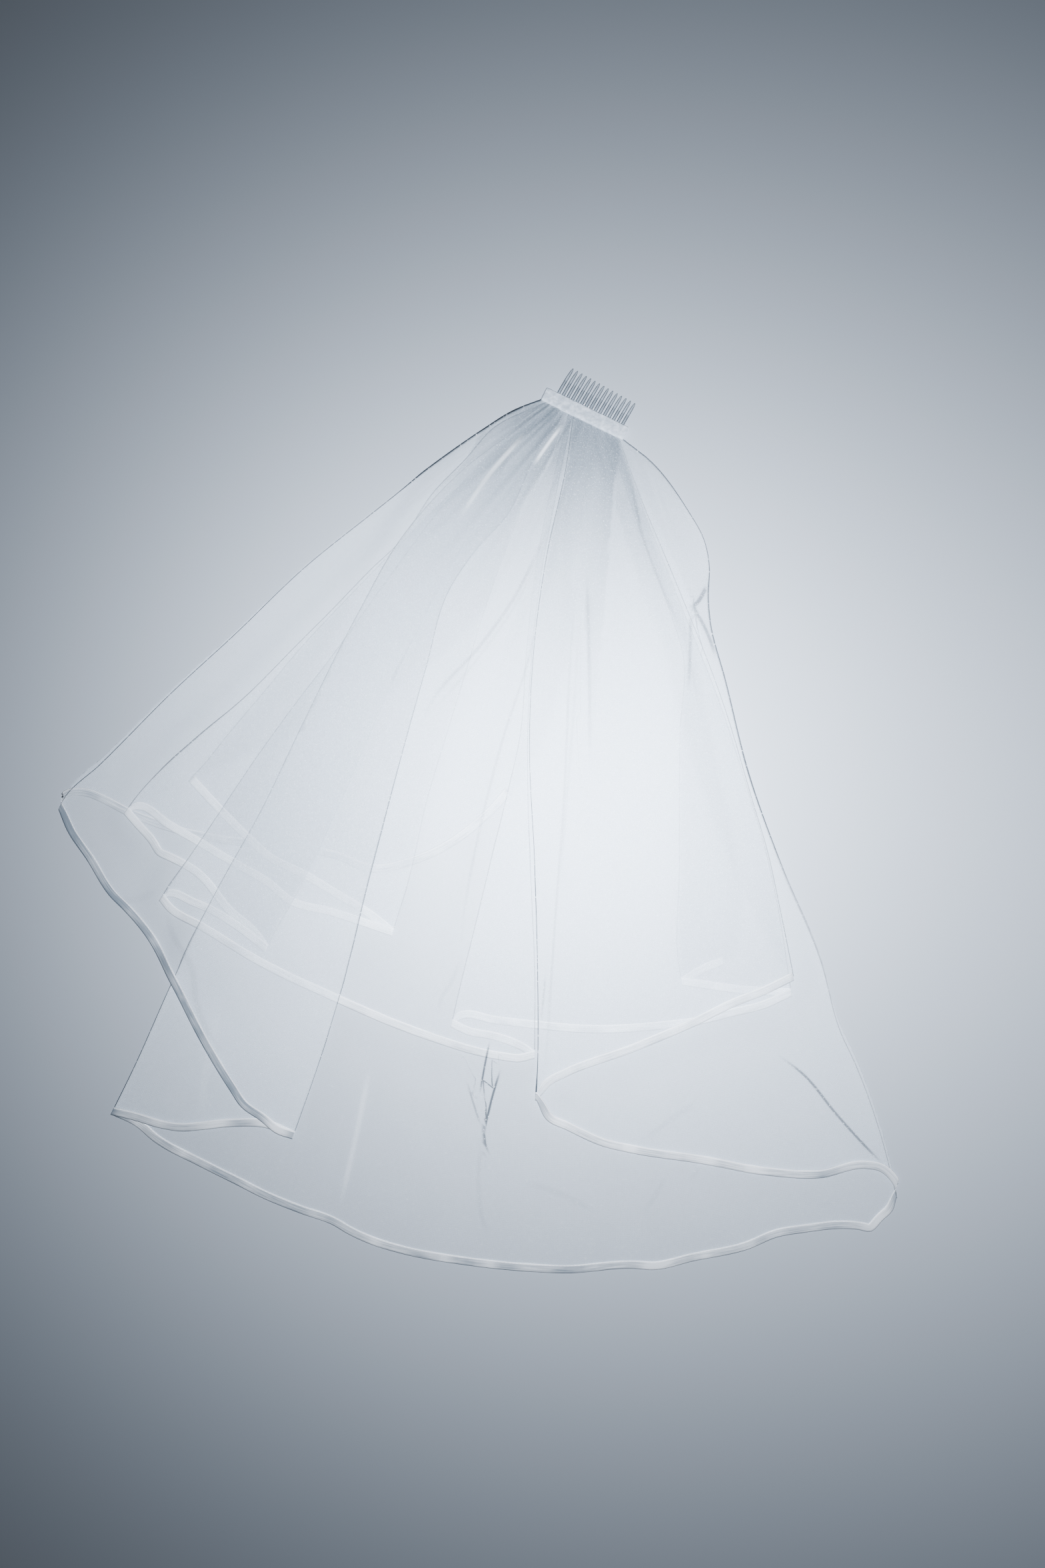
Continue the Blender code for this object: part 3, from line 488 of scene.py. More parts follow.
def buildTulle(name, panels, rows, material):
    # One tier of tulle as one sheet through all its panels and folds
    columns, heights, edge, tone, owner, along, faint = [], [], [], [], [], [], []
    lowEnd = np.clip((np.linspace(0, 1, rows) - 0.55) / 0.4, 0, 1)
    travelled = 0.0
    previous = None
    for key, panel in panels.items():
        grid, length, shares = panelGrid(panel, rows, ribbon["width"] * 0.45)
        z = heightAt(key, grid[..., 0], grid[..., 1])
        toneBefore, toneAfter = foldToneAt(panel["toneBefore"], rows), foldToneAt(panel["toneAfter"], rows)
        if previous is not None:
            lastGrid, lastZ = previous
            out = outwardOf(panel, grid[0])
            for place, level, inside in foldColumns(lastGrid, grid[0], lastZ, z[0], out):
                columns.append(place)
                heights.append(level)
                edge.append(inside)
                tone.append(toneBefore)
                owner.append(key)
                along.append(travelled)
                faint.append(lowEnd * 0)
        start, end = cloth["ribbonFrom"].get(key, 0.0), cloth["ribbonTo"].get(key, 1.0)
        if key in cloth["plainPanels"]:
            start = 1.0
        first = np.linalg.norm(grid - grid[:1], axis=2) + 1.2
        last = np.linalg.norm(grid - grid[-1:], axis=2) + 1.2
        for i, share in enumerate(shares):
            columns.append(grid[i])
            heights.append(z[i])
            edge.append(np.minimum(first[i], last[i]))
            tone.append(toneBefore if share < 0.5 else toneAfter)
            owner.append(key)
            along.append(travelled + share * length)
            faint.append(lowEnd * min(1.0, max(0.0, (start - share) * 8, (share - end) * 8)))
        travelled += length
        previous = (grid[-1], z[-1])
    flat = np.array(columns)
    z = np.array(heights)
    points = np.column_stack([flat.reshape(-1, 2), z.ravel()]) * mm
    down = np.linspace(0, 1, rows)[None, :] * np.ones((len(columns), 1))
    reach = 780.0 if name == "tulleLong" else 590.0
    uv = np.column_stack([np.repeat(np.array(along), rows), (down * reach).ravel()]) * mm
    edgeMm = np.array(edge).ravel()
    creaseMm = np.full(edgeMm.shape, 50.0)
    creaseTone = np.zeros(edgeMm.shape)
    creaseWidth = np.ones(edgeMm.shape)
    owners = np.repeat(np.array(owner), rows)
    x, y = flat.reshape(-1, 2).T
    for panelName, line, width, _, strength in creases:
        mine = np.flatnonzero(owners == panelName)
        if not len(mine):
            continue
        signed, share = lineDistance(x[mine], y[mine], smoothLine(toFrame(line), 24))
        nearer = np.abs(signed) < np.abs(creaseMm[mine])
        ends = np.clip(np.minimum(share, 1 - share) * 5, 0, 1)
        creaseMm[mine] = np.where(nearer, signed, creaseMm[mine])
        creaseTone[mine] = np.where(nearer, strength * ends, creaseTone[mine])
        creaseWidth[mine] = np.where(nearer, width, creaseWidth[mine])
    above = np.zeros(edgeMm.shape)
    layers = np.ones(edgeMm.shape)
    for panelName in panels:
        mine = np.flatnonzero(owners == panelName)
        level = stackOrder.index(panelName)
        for otherLevel, other in enumerate(stackOrder):
            if otherLevel != level:
                covers = insideLoop(x[mine], y[mine], allPanels[other]["loop"])
                layers[mine] += covers
                above[mine] += covers & (otherLevel > level)
    pleat = np.zeros(edgeMm.shape)
    for panelName, line, reachMm, strength in pleats:
        mine = np.flatnonzero(owners == panelName)
        if not len(mine):
            continue
        signed, share = lineDistance(x[mine], y[mine], smoothLine(toFrame(line), 40))
        inside = signed / reachMm
        profile = np.where((inside > 0) & (inside < 1), 1 - inside, 0) ** 0.8
        pleat[mine] += strength * profile * np.clip((1 - share) * 2.2, 0, 1)
    neck = toFrame([(872, 632)])[0]
    crowd = np.clip(1 - np.hypot(x - neck[0], y - neck[1]) / cloth["gatherReach"], 0, 1) ** 2
    attributes = {"edgeMm": edgeMm, "foldTone": np.array(tone).ravel(), "creaseMm": creaseMm,
                  "creaseTone": creaseTone, "creaseWidth": creaseWidth, "crowd": crowd, "above": above,
                  "layers": layers, "pleat": np.clip(pleat, 0, 1), "faint": np.array(faint).ravel()}
    return newPiece(name, points, gridFaces(len(columns), rows), uv, attributes, material)


# Across the ribbon: the share of its width, and the height as a share of its thickness
ribbonSection = [(0.0, 0.0), (0.03, 0.42), (0.09, 0.6), (0.2, 0.68), (0.8, 0.68), (0.91, 0.6), (0.97, 0.42),
                 (1.0, 0.0), (0.94, -0.5), (0.5, -0.5), (0.06, -0.5)]


def buildRibbon(name, panels, material, stitchMaterial):
    # The ribbon through every panel and fold, as one flattened tube, and its row of stitches
    rings, along, bands, tones = [], [], [], []
    travelled = 0.0
    previous = None
    for key, panel in panels.items():
        if key in cloth["plainPanels"]:
            continue
        start, end = cloth["ribbonFrom"].get(key, 0.0), cloth["ribbonTo"].get(key, 1.0)
        length = lengthsAlong(panel["hem"])[-1] * (end - start)
        places = np.linspace(start, end, max(5, round(length / ribbon["step"])))
        outer = atPlaces(panel["hem"], places)
        inner = hemInward(panel, places, ribbon["width"])
        band = np.stack([np.column_stack([line, heightAt(key, line[:, 0], line[:, 1])]) for line in (outer, inner)])
        if previous is not None:
            out = outwardOf(panel, panel["before"])[-1]
            rise = (band[:, 0, 2] - previous[:, 2]) / 2
            reach = np.minimum(np.abs(rise), cloth["foldSwell"])
            for k in range(1, 4):
                angle = math.pi * k / 4
                ring = (previous + band[:, 0]) / 2
                ring[:, :2] += out * (reach * math.sin(angle))[:, None]
                ring[:, 2] -= rise * math.cos(angle)
                rings.append(ring)
                along.append(travelled)
                tones.append(ribbonTones[key])
        for i, place in enumerate(places):
            rings.append(band[:, i])
            along.append(travelled + length * i / (len(places) - 1))
            tones.append(ribbonTones[key])
        bands.append(band)
        travelled += length
        previous = band[:, -1]
    across = np.array([s for s, _ in ribbonSection])
    lift = np.array([h for _, h in ribbonSection]) * ribbon["thickness"]
    points, uv = [], []
    for ring, place in zip(rings, along):
        spots = ring[0] + (ring[1] - ring[0]) * across[:, None]
        spots[:, 2] += lift
        points.append(spots)
        uv.append(np.column_stack([np.full(len(across), place), across * ribbon["width"]]))
    n = len(across)
    faces = []
    for c in range(len(rings) - 1):
        for s in range(n):
            t = (s + 1) % n
            faces.append((c * n + s, (c + 1) * n + s, (c + 1) * n + t, c * n + t))
    faces.append(tuple(range(n)))
    faces.append(tuple((len(rings) - 1) * n + s for s in reversed(range(n))))
    middles = np.array([ring[:, :2].mean(axis=0) for ring in rings])
    light = np.array([tone[0] for tone in tones])
    for place, reach, strength in ribbonLights:
        away = np.linalg.norm(middles - toFrame([place])[0], axis=1)
        light = light + strength * np.exp(-(away / reach) ** 2)
    rim = np.array([tone[1] for tone in tones])
    attributes = {"light": np.repeat(light, n), "rim": np.repeat(rim, n)}
    piece = newPiece(name, np.vstack(points) * mm, faces, np.vstack(uv) * mm, attributes, material)
    return piece, buildStitches(name + "Stitches", bands, stitchMaterial)


def buildStitches(name, bands, material):
    # Short raised stitches along the ribbon's inner edge
    bm = bmesh.new()
    pitch = ribbon["stitchLength"] + ribbon["stitchGap"]
    share = ribbon["stitchInset"] / ribbon["width"]
    for band in bands:
        line = band[0] + (band[1] - band[0]) * share
        away = lengthsAlong(line)
        for k in range(int(away[-1] / pitch)):
            ends = [(k + 0.3) * pitch, (k + 0.3) * pitch + ribbon["stitchLength"]]
            a, b = [np.array([np.interp(e, away, line[:, i]) for i in range(3)]) for e in ends]
            d = (b - a) / max(np.linalg.norm(b - a), 1e-6)
            side = np.array([-d[1], d[0], 0]) * 0.22
            top = ribbon["thickness"] * 0.62
            rings = []
            for place, size, height in ((a, 0.3, top), ((a + b) / 2, 1.0, top + 0.3), (b, 0.3, top)):
                ring = [place - side * size, place + side * size]
                low = [(p + (0, 0, height - 0.25)) * mm for p in ring]
                high = (place + (0, 0, height + 0.12)) * mm
                rings.append([bm.verts.new(low[0]), bm.verts.new(high), bm.verts.new(low[1])])
            for r, s in zip(rings, rings[1:]):
                for i in range(3):
                    j = (i + 1) % 3
                    bm.faces.new((r[i], r[j], s[j], s[i]))
            bm.faces.new(rings[0][::-1])
            bm.faces.new(rings[-1])
    bmesh.ops.recalc_face_normals(bm, faces=bm.faces)
    mesh = bpy.data.meshes.new(name)
    bm.to_mesh(mesh)
    bm.free()
    mesh.materials.append(material)
    piece = bpy.data.objects.new(name, mesh)
    bpy.context.scene.collection.objects.link(piece)
    return piece


def hexColour(text):
    # An sRGB hex colour as linear values
    values = [int(text[i:i + 2], 16) / 255 for i in (1, 3, 5)]
    return tuple(v / 12.92 if v <= 0.04045 else ((v + 0.055) / 1.055) ** 2.4 for v in values) + (1.0,)


def addNode(material, kind, settings=None, inputs=None):
    # A node with its settings; an input is a value, or another node's output to link
    tree = material.node_tree
    node = tree.nodes.new(kind)
    for key, value in (settings or {}).items():
        setattr(node, key, value)
    for key, value in (inputs or {}).items():
        if isinstance(value, bpy.types.NodeSocket):
            tree.links.new(value, node.inputs[key])
        else:
            node.inputs[key].default_value = value
    return node


def startMaterial(name, settings):
    material = bpy.data.materials.new(name)
    material.use_nodes = True
    shader = material.node_tree.nodes["Principled BSDF"]
    for key, value in settings.items():
        shader.inputs[key].default_value = value
    return material, shader


def mathNode(material, operation, a, b=0.0, c=0.0, clamp=False):
    node = addNode(material, "ShaderNodeMath", {"operation": operation, "use_clamp": clamp}, {0: a, 1: b, 2: c})
    return node.outputs[0]


def lineProfile(material, distance, width):
    # 1 on a line and falling away on both sides over its width
    ratio = mathNode(material, "DIVIDE", distance, width)
    square = mathNode(material, "MULTIPLY", ratio, ratio)
    quartic = mathNode(material, "MULTIPLY", square, square)
    return mathNode(material, "DIVIDE", 1.0, mathNode(material, "ADD", 1.0, quartic))


def rampNode(material, value, low, high):
    # 0 below the first value, 1 above the second, smooth between
    settings = {"interpolation_type": "SMOOTHSTEP"}
    return addNode(material, "ShaderNodeMapRange", settings, {0: value, 1: low, 2: high}).outputs[0]


def mixColour(material, share, first, second):
    node = addNode(material, "ShaderNodeMix", {"data_type": "RGBA"}, {0: share, 6: first, 7: second})
    return node.outputs[2]


def readAttribute(material, name):
    return addNode(material, "ShaderNodeAttribute", {"attribute_name": name}).outputs["Fac"]


# Nylon bridal tulle: a white hexagonal net, so it is mostly open, looks denser along folds and where it is gathered,
# with painted shade there and in deep stacks of layers; painted highlights lie on bright creases, and faint painted
# glints where a thread catches the light
tulleLook = {
    "colour": "#dde4ea",
    "deepColour": "#bac3cb",     # where many layers lie in each other's shade
    "deepFrom": 2.0,             # layers
    "deepTo": 8.0,
    "hiddenFade": 0.85,          # how far the hidden hems fade, which the photo doesn't show
    # painted shade in the gathers and along the pleats
    "gatherShadeColour": "#66717a",    # in the gathers
    # painted shade along fold lines and dark creases
    "foldShadeColour": "#3d464e",
    # painted highlight on bright creases and on glinting threads
    "creaseHighlight": "#f4f8fa",
    "openShare": 0.19,       # alpha of the flat net
    "netShare": 0.10,        # what the threads add
    "sparkleShare": 0.10,    # and the threads that catch the light
    "cloudShare": 0.10,      # slow unevenness
    "bandShare": 0.10,       # bands that run down from the gathers
    "crowdShare": 0.12,      # what the gathers add at the casing
    "pleatShare": 0.45,      # and each pleat
    "foldShare": 0.85,       # what a fold line adds
    "shadeShare": 0.07,      # and the softer band beside it
    "creaseShare": 0.35,
    "netPitch": 1.6,         # mm; the real net's 1.0 mm is too fine to show
    "foldWidth": 0.9,        # mm
    "roughness": 0.5,
}


def makeTulle():
    look = tulleLook
    material, shader = startMaterial("white nylon tulle", {"Roughness": look["roughness"]})
    place = addNode(material, "ShaderNodeUVMap", {"uv_map": "cloth"}).outputs["UV"]
    net = addNode(material, "ShaderNodeTexVoronoi", {"feature": "DISTANCE_TO_EDGE"},
                  {"Vector": place, "Scale": 1 / (look["netPitch"] * mm), "Randomness": 0.35})
    threads = mathNode(material, "LESS_THAN", net.outputs["Distance"], 0.13)
    flecks = addNode(material, "ShaderNodeTexNoise", {}, {"Vector": place, "Scale": 1 / (2.5 * mm), "Detail": 2.0})
    clouds = addNode(material, "ShaderNodeTexNoise", {}, {"Vector": place, "Scale": 1 / (30 * mm), "Detail": 5.0})
    parts = addNode(material, "ShaderNodeSeparateXYZ", {}, {"Vector": place})
    slow = mathNode(material, "MULTIPLY", parts.outputs["Y"], 0.12)
    stretched = addNode(material, "ShaderNodeCombineXYZ", {}, {"X": parts.outputs["X"], "Y": slow})
    bands = addNode(material, "ShaderNodeTexNoise", {},
                    {"Vector": stretched.outputs[0], "Scale": 1 / (26 * mm), "Detail": 3.0})
    edge, foldTone = readAttribute(material, "edgeMm"), readAttribute(material, "foldTone")
    crease, tone = readAttribute(material, "creaseMm"), readAttribute(material, "creaseTone")
    width, crowd = readAttribute(material, "creaseWidth"), readAttribute(material, "crowd")
    above, pleat = readAttribute(material, "above"), readAttribute(material, "pleat")
    foldLine = mathNode(material, "MULTIPLY", lineProfile(material, edge, look["foldWidth"]), foldTone)
    foldShade = mathNode(material, "MULTIPLY", lineProfile(material, edge, 5.0), foldTone)
    strength = mathNode(material, "ABSOLUTE", tone)
    creaseLine = mathNode(material, "MULTIPLY", lineProfile(material, crease, width), strength)
    darkCrease = mathNode(material, "MULTIPLY", creaseLine, mathNode(material, "GREATER_THAN", tone, 0.0))
    gathers = rampNode(material, bands.outputs["Fac"], 0.50, 0.56)
    alpha = mathNode(material, "MULTIPLY_ADD", threads, look["netShare"], look["openShare"] - look["netShare"] * 0.4)
    alpha = mathNode(material, "MULTIPLY_ADD", clouds.outputs["Fac"], look["cloudShare"], alpha)
    alpha = mathNode(material, "SUBTRACT", alpha, look["cloudShare"] / 2)
    alpha = mathNode(material, "MULTIPLY_ADD", crowd, look["crowdShare"], alpha)
    nearNeck = mathNode(material, "MULTIPLY", gathers, mathNode(material, "MULTIPLY_ADD", crowd, 1.0, 0.12))
    alpha = mathNode(material, "MULTIPLY_ADD", nearNeck, look["bandShare"], alpha)
    alpha = mathNode(material, "MULTIPLY_ADD", pleat, look["pleatShare"], alpha)
    alpha = mathNode(material, "MULTIPLY_ADD", foldLine, look["foldShare"], alpha)
    alpha = mathNode(material, "MULTIPLY_ADD", foldShade, look["shadeShare"], alpha)
    alpha = mathNode(material, "MULTIPLY_ADD", creaseLine, look["creaseShare"], alpha)
    sparkle = mathNode(material, "GREATER_THAN", flecks.outputs["Fac"], 0.65)
    alpha = mathNode(material, "MULTIPLY_ADD", sparkle, look["sparkleShare"], alpha)
    closed = rampNode(material, above, cloth["closedUnder"] - 0.9, cloth["closedUnder"] - 0.1)
    alpha = mathNode(material, "ADD", alpha, closed, clamp=True)
    shown = mathNode(material, "MULTIPLY_ADD", readAttribute(material, "faint"), -look["hiddenFade"], 1.0)
    alpha = mathNode(material, "MULTIPLY", alpha, shown)
    # Painted shade on the net's colour: along fold lines and dark creases, in the gathers and pleats, and where many
    # layers lie on each other
    foldDark = mathNode(material, "MULTIPLY", foldLine, 2.0)
    dark = mathNode(material, "MAXIMUM", foldDark, mathNode(material, "MULTIPLY", darkCrease, 0.9), clamp=True)
    # painted shade of the gathers and pleats
    gatherShade = mathNode(material, "ADD", crowd, mathNode(material, "MULTIPLY", pleat, 0.6), clamp=True)
    deep = rampNode(material, readAttribute(material, "layers"), look["deepFrom"], look["deepTo"])
    colour = mixColour(material, deep, hexColour(look["colour"]), hexColour(look["deepColour"]))
    colour = mixColour(material, gatherShade, colour, hexColour(look["gatherShadeColour"]))
    colour = mixColour(material, dark, colour, hexColour(look["foldShadeColour"]))
    # Painted highlights: on bright creases, and faint glints where a thread catches the light
    bright = mathNode(material, "SUBTRACT", creaseLine, darkCrease)
    bright = mathNode(material, "MAXIMUM", bright, mathNode(material, "MULTIPLY", sparkle, 0.8))
    colour = mixColour(material, bright, colour, hexColour(look["creaseHighlight"]))
    material.node_tree.links.new(colour, shader.inputs["Base Color"])
    material.node_tree.links.new(alpha, shader.inputs["Alpha"])
    return material


# Single-face polyester satin: long floats along the ribbon give streaks of light along it
satinLook = {
    "light": "#f6f9fb",
    "shade": "#848f99",
    # painted shade along the outer edge
    "edge": "#4e5860",
    # a painted highlight along the sewn inner edge
    "hem": "#ffffff",        # the sewn inner edge
    "roughness": 0.32,
    "streakLength": 26.0,    # mm
    "streakWidth": 0.9,
}


def makeSatin():
    look = satinLook
    material, shader = startMaterial("white polyester satin", {"Roughness": look["roughness"], "Sheen Weight": 0.25,
                                                              "Anisotropic": 0.6})
    place = addNode(material, "ShaderNodeUVMap", {"uv_map": "cloth"}).outputs["UV"]
    parts = addNode(material, "ShaderNodeSeparateXYZ", {}, {"Vector": place})
    along, across = parts.outputs["X"], parts.outputs["Y"]
    longer = mathNode(material, "DIVIDE", along, look["streakLength"] * mm)
    finer = mathNode(material, "DIVIDE", across, look["streakWidth"] * mm)
    lines = addNode(material, "ShaderNodeCombineXYZ", {}, {"X": longer, "Y": finer})
    streaks = addNode(material, "ShaderNodeTexNoise", {}, {"Vector": lines.outputs[0], "Scale": 1.0, "Detail": 3.0})
    broad = addNode(material, "ShaderNodeTexNoise", {"noise_dimensions": "1D"},
                    {"W": mathNode(material, "DIVIDE", along, 34 * mm), "Scale": 1.0, "Detail": 3.0})
    light, rim = readAttribute(material, "light"), readAttribute(material, "rim")
    # Painted sheen: streaks, turns and each panel's tone mix the satin between painted shade and painted light
    share = mathNode(material, "MULTIPLY_ADD", streaks.outputs["Fac"], 1.5, -0.75)
    share = mathNode(material, "MULTIPLY_ADD", broad.outputs["Fac"], 0.7, mathNode(material, "ADD", share, -0.35))
    share = mathNode(material, "ADD", share, light, clamp=True)
    colour = mixColour(material, share, hexColour(look["shade"]), hexColour(look["light"]))
    # A painted highlight along the sewn inner edge, and painted shade along the outer edge
    outer = lineProfile(material, across, 0.9 * mm)
    inner = lineProfile(material, mathNode(material, "SUBTRACT", across, 7.1 * mm), 0.5 * mm)
    colour = mixColour(material, mathNode(material, "MULTIPLY", inner, 0.7), colour, hexColour(look["hem"]))
    colour = mixColour(material, mathNode(material, "MULTIPLY", outer, rim), colour, hexColour(look["edge"]))
    material.node_tree.links.new(colour, shader.inputs["Base Color"])
    return material


# The casing and the comb lie along X here, teeth towards +Y, and are then turned into their seat
seat = {
    "place": (97.2, 371.7),    # mm, the middle of the casing's lower edge
    "turn": -26.0,             # degrees
    "middle": 6.2,             # mm from the surface up to the comb's spine
}
casing = {
    "length": 85.0,
    "width": 13.0,
    "height": 8.4,
    "rounding": 2.8,
    "wall": 2.2,
    "channel": 9.6,
    "grain": 0.6,              # mm between the points of the felt's surface
    "pile": 0.7,               # how far the felt rises and falls
    "pileSize": 3.5,
}
comb = {
    "teeth": 15,
    "pitch": 4.7,
    "shift": 2.5,              # mm to the right of the casing's middle
    "turn": -3.3,              # degrees against the casing
    "front": 11.4,             # mm across the casing, where the teeth start
    "spineDepth": 5.0,
    "spineHeight": 3.2,
    "overhang": 1.2,
    "toothWidth": 3.2,
    "toothTip": 3.0,
    "toothThickness": 1.8,
    "toothLength": 27.2,
    "toothLean": 0.4,
    "toothArch": 2.2,
    "toothDrop": 5.2,
    # shares of its length, and its size there
    "sections": [(0.04, 1.0), (0.2, 1.0), (0.35, 1.0), (0.5, 0.98), (0.62, 0.97), (0.72, 0.93), (0.8, 0.88),
                 (0.87, 0.78), (0.92, 0.66), (0.96, 0.5), (0.985, 0.34), (1.0, 0.16)],
    "loops": [-1.5, -0.5, 0.5],     # the gaps where the sewing thread shows, in pitches
    "threadRadius": 0.3,
}


def startCube(name, size, place):
    unselectAll()
    bpy.ops.mesh.primitive_cube_add(size=1.0, location=[p * mm for p in place])
    piece = bpy.context.object
    piece.name = name
    piece.scale = [s * mm for s in size]
    bpy.ops.object.transform_apply(location=True, rotation=False, scale=True)
    return piece


def pickFaces(piece, test):
    # In edit mode: selects only the faces whose middle, in mm, and normal pass the test
    bpy.ops.mesh.select_mode(type="FACE")
    bpy.ops.mesh.select_all(action="DESELECT")
    bm = bmesh.from_edit_mesh(piece.data)
    for face in bm.faces:
        face.select_set(test(face.calc_center_median() / mm, face.normal))
    bmesh.update_edit_mesh(piece.data)


def pickEdges(piece, test):
    # The same for edges, by their middle in mm and their direction
    bpy.ops.mesh.select_mode(type="EDGE")
    bpy.ops.mesh.select_all(action="DESELECT")
    bm = bmesh.from_edit_mesh(piece.data)
    for edge in bm.edges:
        a, b = [v.co for v in edge.verts]
        edge.select_set(test((a + b) / 2 / mm, (b - a).normalized()))
    bmesh.update_edit_mesh(piece.data)


def applyModifier(piece, kind, settings):
    modifier = piece.modifiers.new(kind.lower(), kind)
    for key, value in settings.items():
        setattr(modifier, key, value)
    bpy.context.view_layer.objects.active = piece
    bpy.ops.object.modifier_apply(modifier=modifier.name)


def settleInSeat(piece, along, across, turn):
    # Turns a finished piece and moves it to its place on the casing's line
    base = math.radians(seat["turn"])
    x = seat["place"][0] + along * math.cos(base) - across * math.sin(base)
    y = seat["place"][1] + along * math.sin(base) + across * math.cos(base)
    piece.location = (x * mm, y * mm, 0)
    piece.rotation_euler = (0, 0, base + math.radians(turn))
    unselectAll()
    piece.select_set(True)
    bpy.context.view_layer.objects.active = piece
    bpy.ops.object.transform_apply(location=True, rotation=True, scale=True)


def makeCasing(material):
    # A band of felt folded round the comb's spine, open towards the teeth
    block = startCube("casing", (casing["length"], casing["width"], casing["height"]),
                      (0, casing["width"] / 2, seat["middle"]))
    bpy.ops.object.mode_set(mode="EDIT")
    pickEdges(block, lambda middle, way: abs(way.x) > 0.9 and middle.y < 1.0)
    bpy.ops.mesh.bevel(offset=casing["rounding"] * mm, segments=4, affect="EDGES")
    pickFaces(block, lambda middle, normal: normal.y > 0.9)
    bpy.ops.mesh.inset(thickness=casing["wall"] * mm)
    bpy.ops.mesh.extrude_region_move(TRANSFORM_OT_translate={"value": (0, -casing["channel"] * mm, 0)})
    bpy.ops.object.mode_set(mode="OBJECT")
    applyModifier(block, "BEVEL", {"width": 0.9 * mm, "segments": 2, "angle_limit": math.radians(50)})
    applyModifier(block, "REMESH", {"mode": "VOXEL", "voxel_size": casing["grain"] * mm})
    clouds = bpy.data.textures.new("felt", "CLOUDS")
    clouds.noise_scale = casing["pileSize"] * mm
    applyModifier(block, "DISPLACE", {"texture": clouds, "strength": casing["pile"] * mm, "mid_level": 0.5})
    bpy.ops.object.shade_smooth()
    ends = block.data.attributes.new("end", "FLOAT", "POINT")
    ends.data.foreach_set("value", [float(-v.co.x / mm > casing["length"] / 2 - 0.7) for v in block.data.vertices])
    block.data.materials.append(material)
    settleInSeat(block, 0, 0, 0)
    return block


def makeTooth():
    # One tooth, drawn out of a small block section by section: arched, tapered and rounded at its tip
    start = comb["spineDepth"] / 2
    tooth = startCube("tooth", (comb["toothWidth"], 0.8, comb["toothThickness"]), (0, start - 0.2, seat["middle"]))
    bpy.ops.object.mode_set(mode="EDIT")
    pickEdges(tooth, lambda middle, way: abs(way.y) > 0.9)
    bpy.ops.mesh.bevel(offset=0.85 * mm, segments=3, affect="EDGES")
    reach, height, width, thickness = start + 0.2, 0.0, comb["toothWidth"], comb["toothThickness"]
    lean = 0.0
    for share, size in comb["sections"]:
        tip = start + 0.2 + comb["toothLength"] * share
        rise = comb["toothArch"] * 4 * share * (1 - share) - comb["toothDrop"] * share * share
        wide = (comb["toothTip"] * share + comb["toothWidth"] * (1 - share)) * size
        thick = comb["toothThickness"] * size ** 0.5
        side = comb["toothLean"] * share
        pickFaces(tooth, lambda middle, normal: middle.y > reach - 0.01)
        step = ((side - lean) * mm, (tip - reach) * mm, (rise - height) * mm)
        bpy.ops.mesh.extrude_region_move(TRANSFORM_OT_translate={"value": step})
        centre = (side * mm, tip * mm, (seat["middle"] + rise) * mm)
        bpy.ops.transform.resize(value=(wide / width, 1, thick / thickness), center_override=centre)
        reach, height, width, thickness, lean = tip, rise, wide, thick, side
    bpy.ops.object.mode_set(mode="OBJECT")
    shares, sizes = zip((0.0, 1.0), *comb["sections"])
    rims, along = [], []
    for vertex in tooth.data.vertices:
        share = (vertex.co.y / mm - start - 0.2) / comb["toothLength"]
        wide = (comb["toothTip"] * share + comb["toothWidth"] * (1 - share)) * np.interp(share, shares, sizes)
        rims.append(abs(vertex.co.x / mm - comb["toothLean"] * share) * 2 / wide)
        along.append(share)
    tooth.data.attributes.new("rim", "FLOAT", "POINT").data.foreach_set("value", rims)
    tooth.data.attributes.new("along", "FLOAT", "POINT").data.foreach_set("value", along)
    return tooth


def makeComb(material):
    # The spine with its row of teeth, each a copy of the first
    middle = (comb["teeth"] - 1) / 2
    length = 2 * middle * comb["pitch"] + comb["toothWidth"] + 2 * comb["overhang"]
    spine = startCube("combPiece", (length, comb["spineDepth"], comb["spineHeight"]), (0, 0, seat["middle"]))
    applyModifier(spine, "BEVEL", {"width": 0.6 * mm, "segments": 3})
    tooth = makeTooth()
    parts = []
    for i in range(comb["teeth"]):
        copy = tooth.copy()
        copy.data = tooth.data.copy()
        bpy.context.scene.collection.objects.link(copy)
        copy.location = ((i - middle) * comb["pitch"] * mm, 0, 0)
        parts.append(copy)
    bpy.data.objects.remove(tooth)
    unselectAll()
    for copy in parts:
        copy.select_set(True)
    spine.select_set(True)
    bpy.context.view_layer.objects.active = spine
    bpy.ops.object.transform_apply(location=True, rotation=False, scale=False)
    bpy.ops.object.join()
    bpy.ops.object.shade_smooth_by_angle(angle=math.radians(35))
    spine.data.materials.clear()
    spine.data.materials.append(material)
    settleInSeat(spine, comb["shift"], comb["front"] - comb["spineDepth"] / 2, comb["turn"])
    return spine


def makeCombThread(material):
    # The loops of thread that hold the comb in its casing, where they come out between the teeth
    loops = []
    for gap in comb["loops"]:
        unselectAll()
        bpy.ops.mesh.primitive_torus_add(major_radius=2.4 * mm, minor_radius=comb["threadRadius"] * mm,
                                         major_segments=28, minor_segments=8, rotation=(0, math.pi / 2, 0),
                                         location=(gap * comb["pitch"] * mm, 4.6 * mm, seat["middle"] * mm))
        loops.append(bpy.context.object)
    unselectAll()
    for loop in loops:
        loop.select_set(True)
    bpy.context.view_layer.objects.active = loops[0]
    bpy.ops.object.transform_apply(location=True, rotation=True, scale=True)
    bpy.ops.object.join()
    piece = bpy.context.object
    piece.name = "combThread"
    bpy.ops.object.shade_smooth()
    piece.data.materials.append(material)
    settleInSeat(piece, comb["shift"], comb["front"] - comb["spineDepth"] / 2, comb["turn"])
    return piece


# White wool felt: matt, with a soft pale rim from its pile and dark grey along its left end
feltLook = {"colour": "#b4bdc6", "light": "#d9e0e7", "end": "#4a535b"}


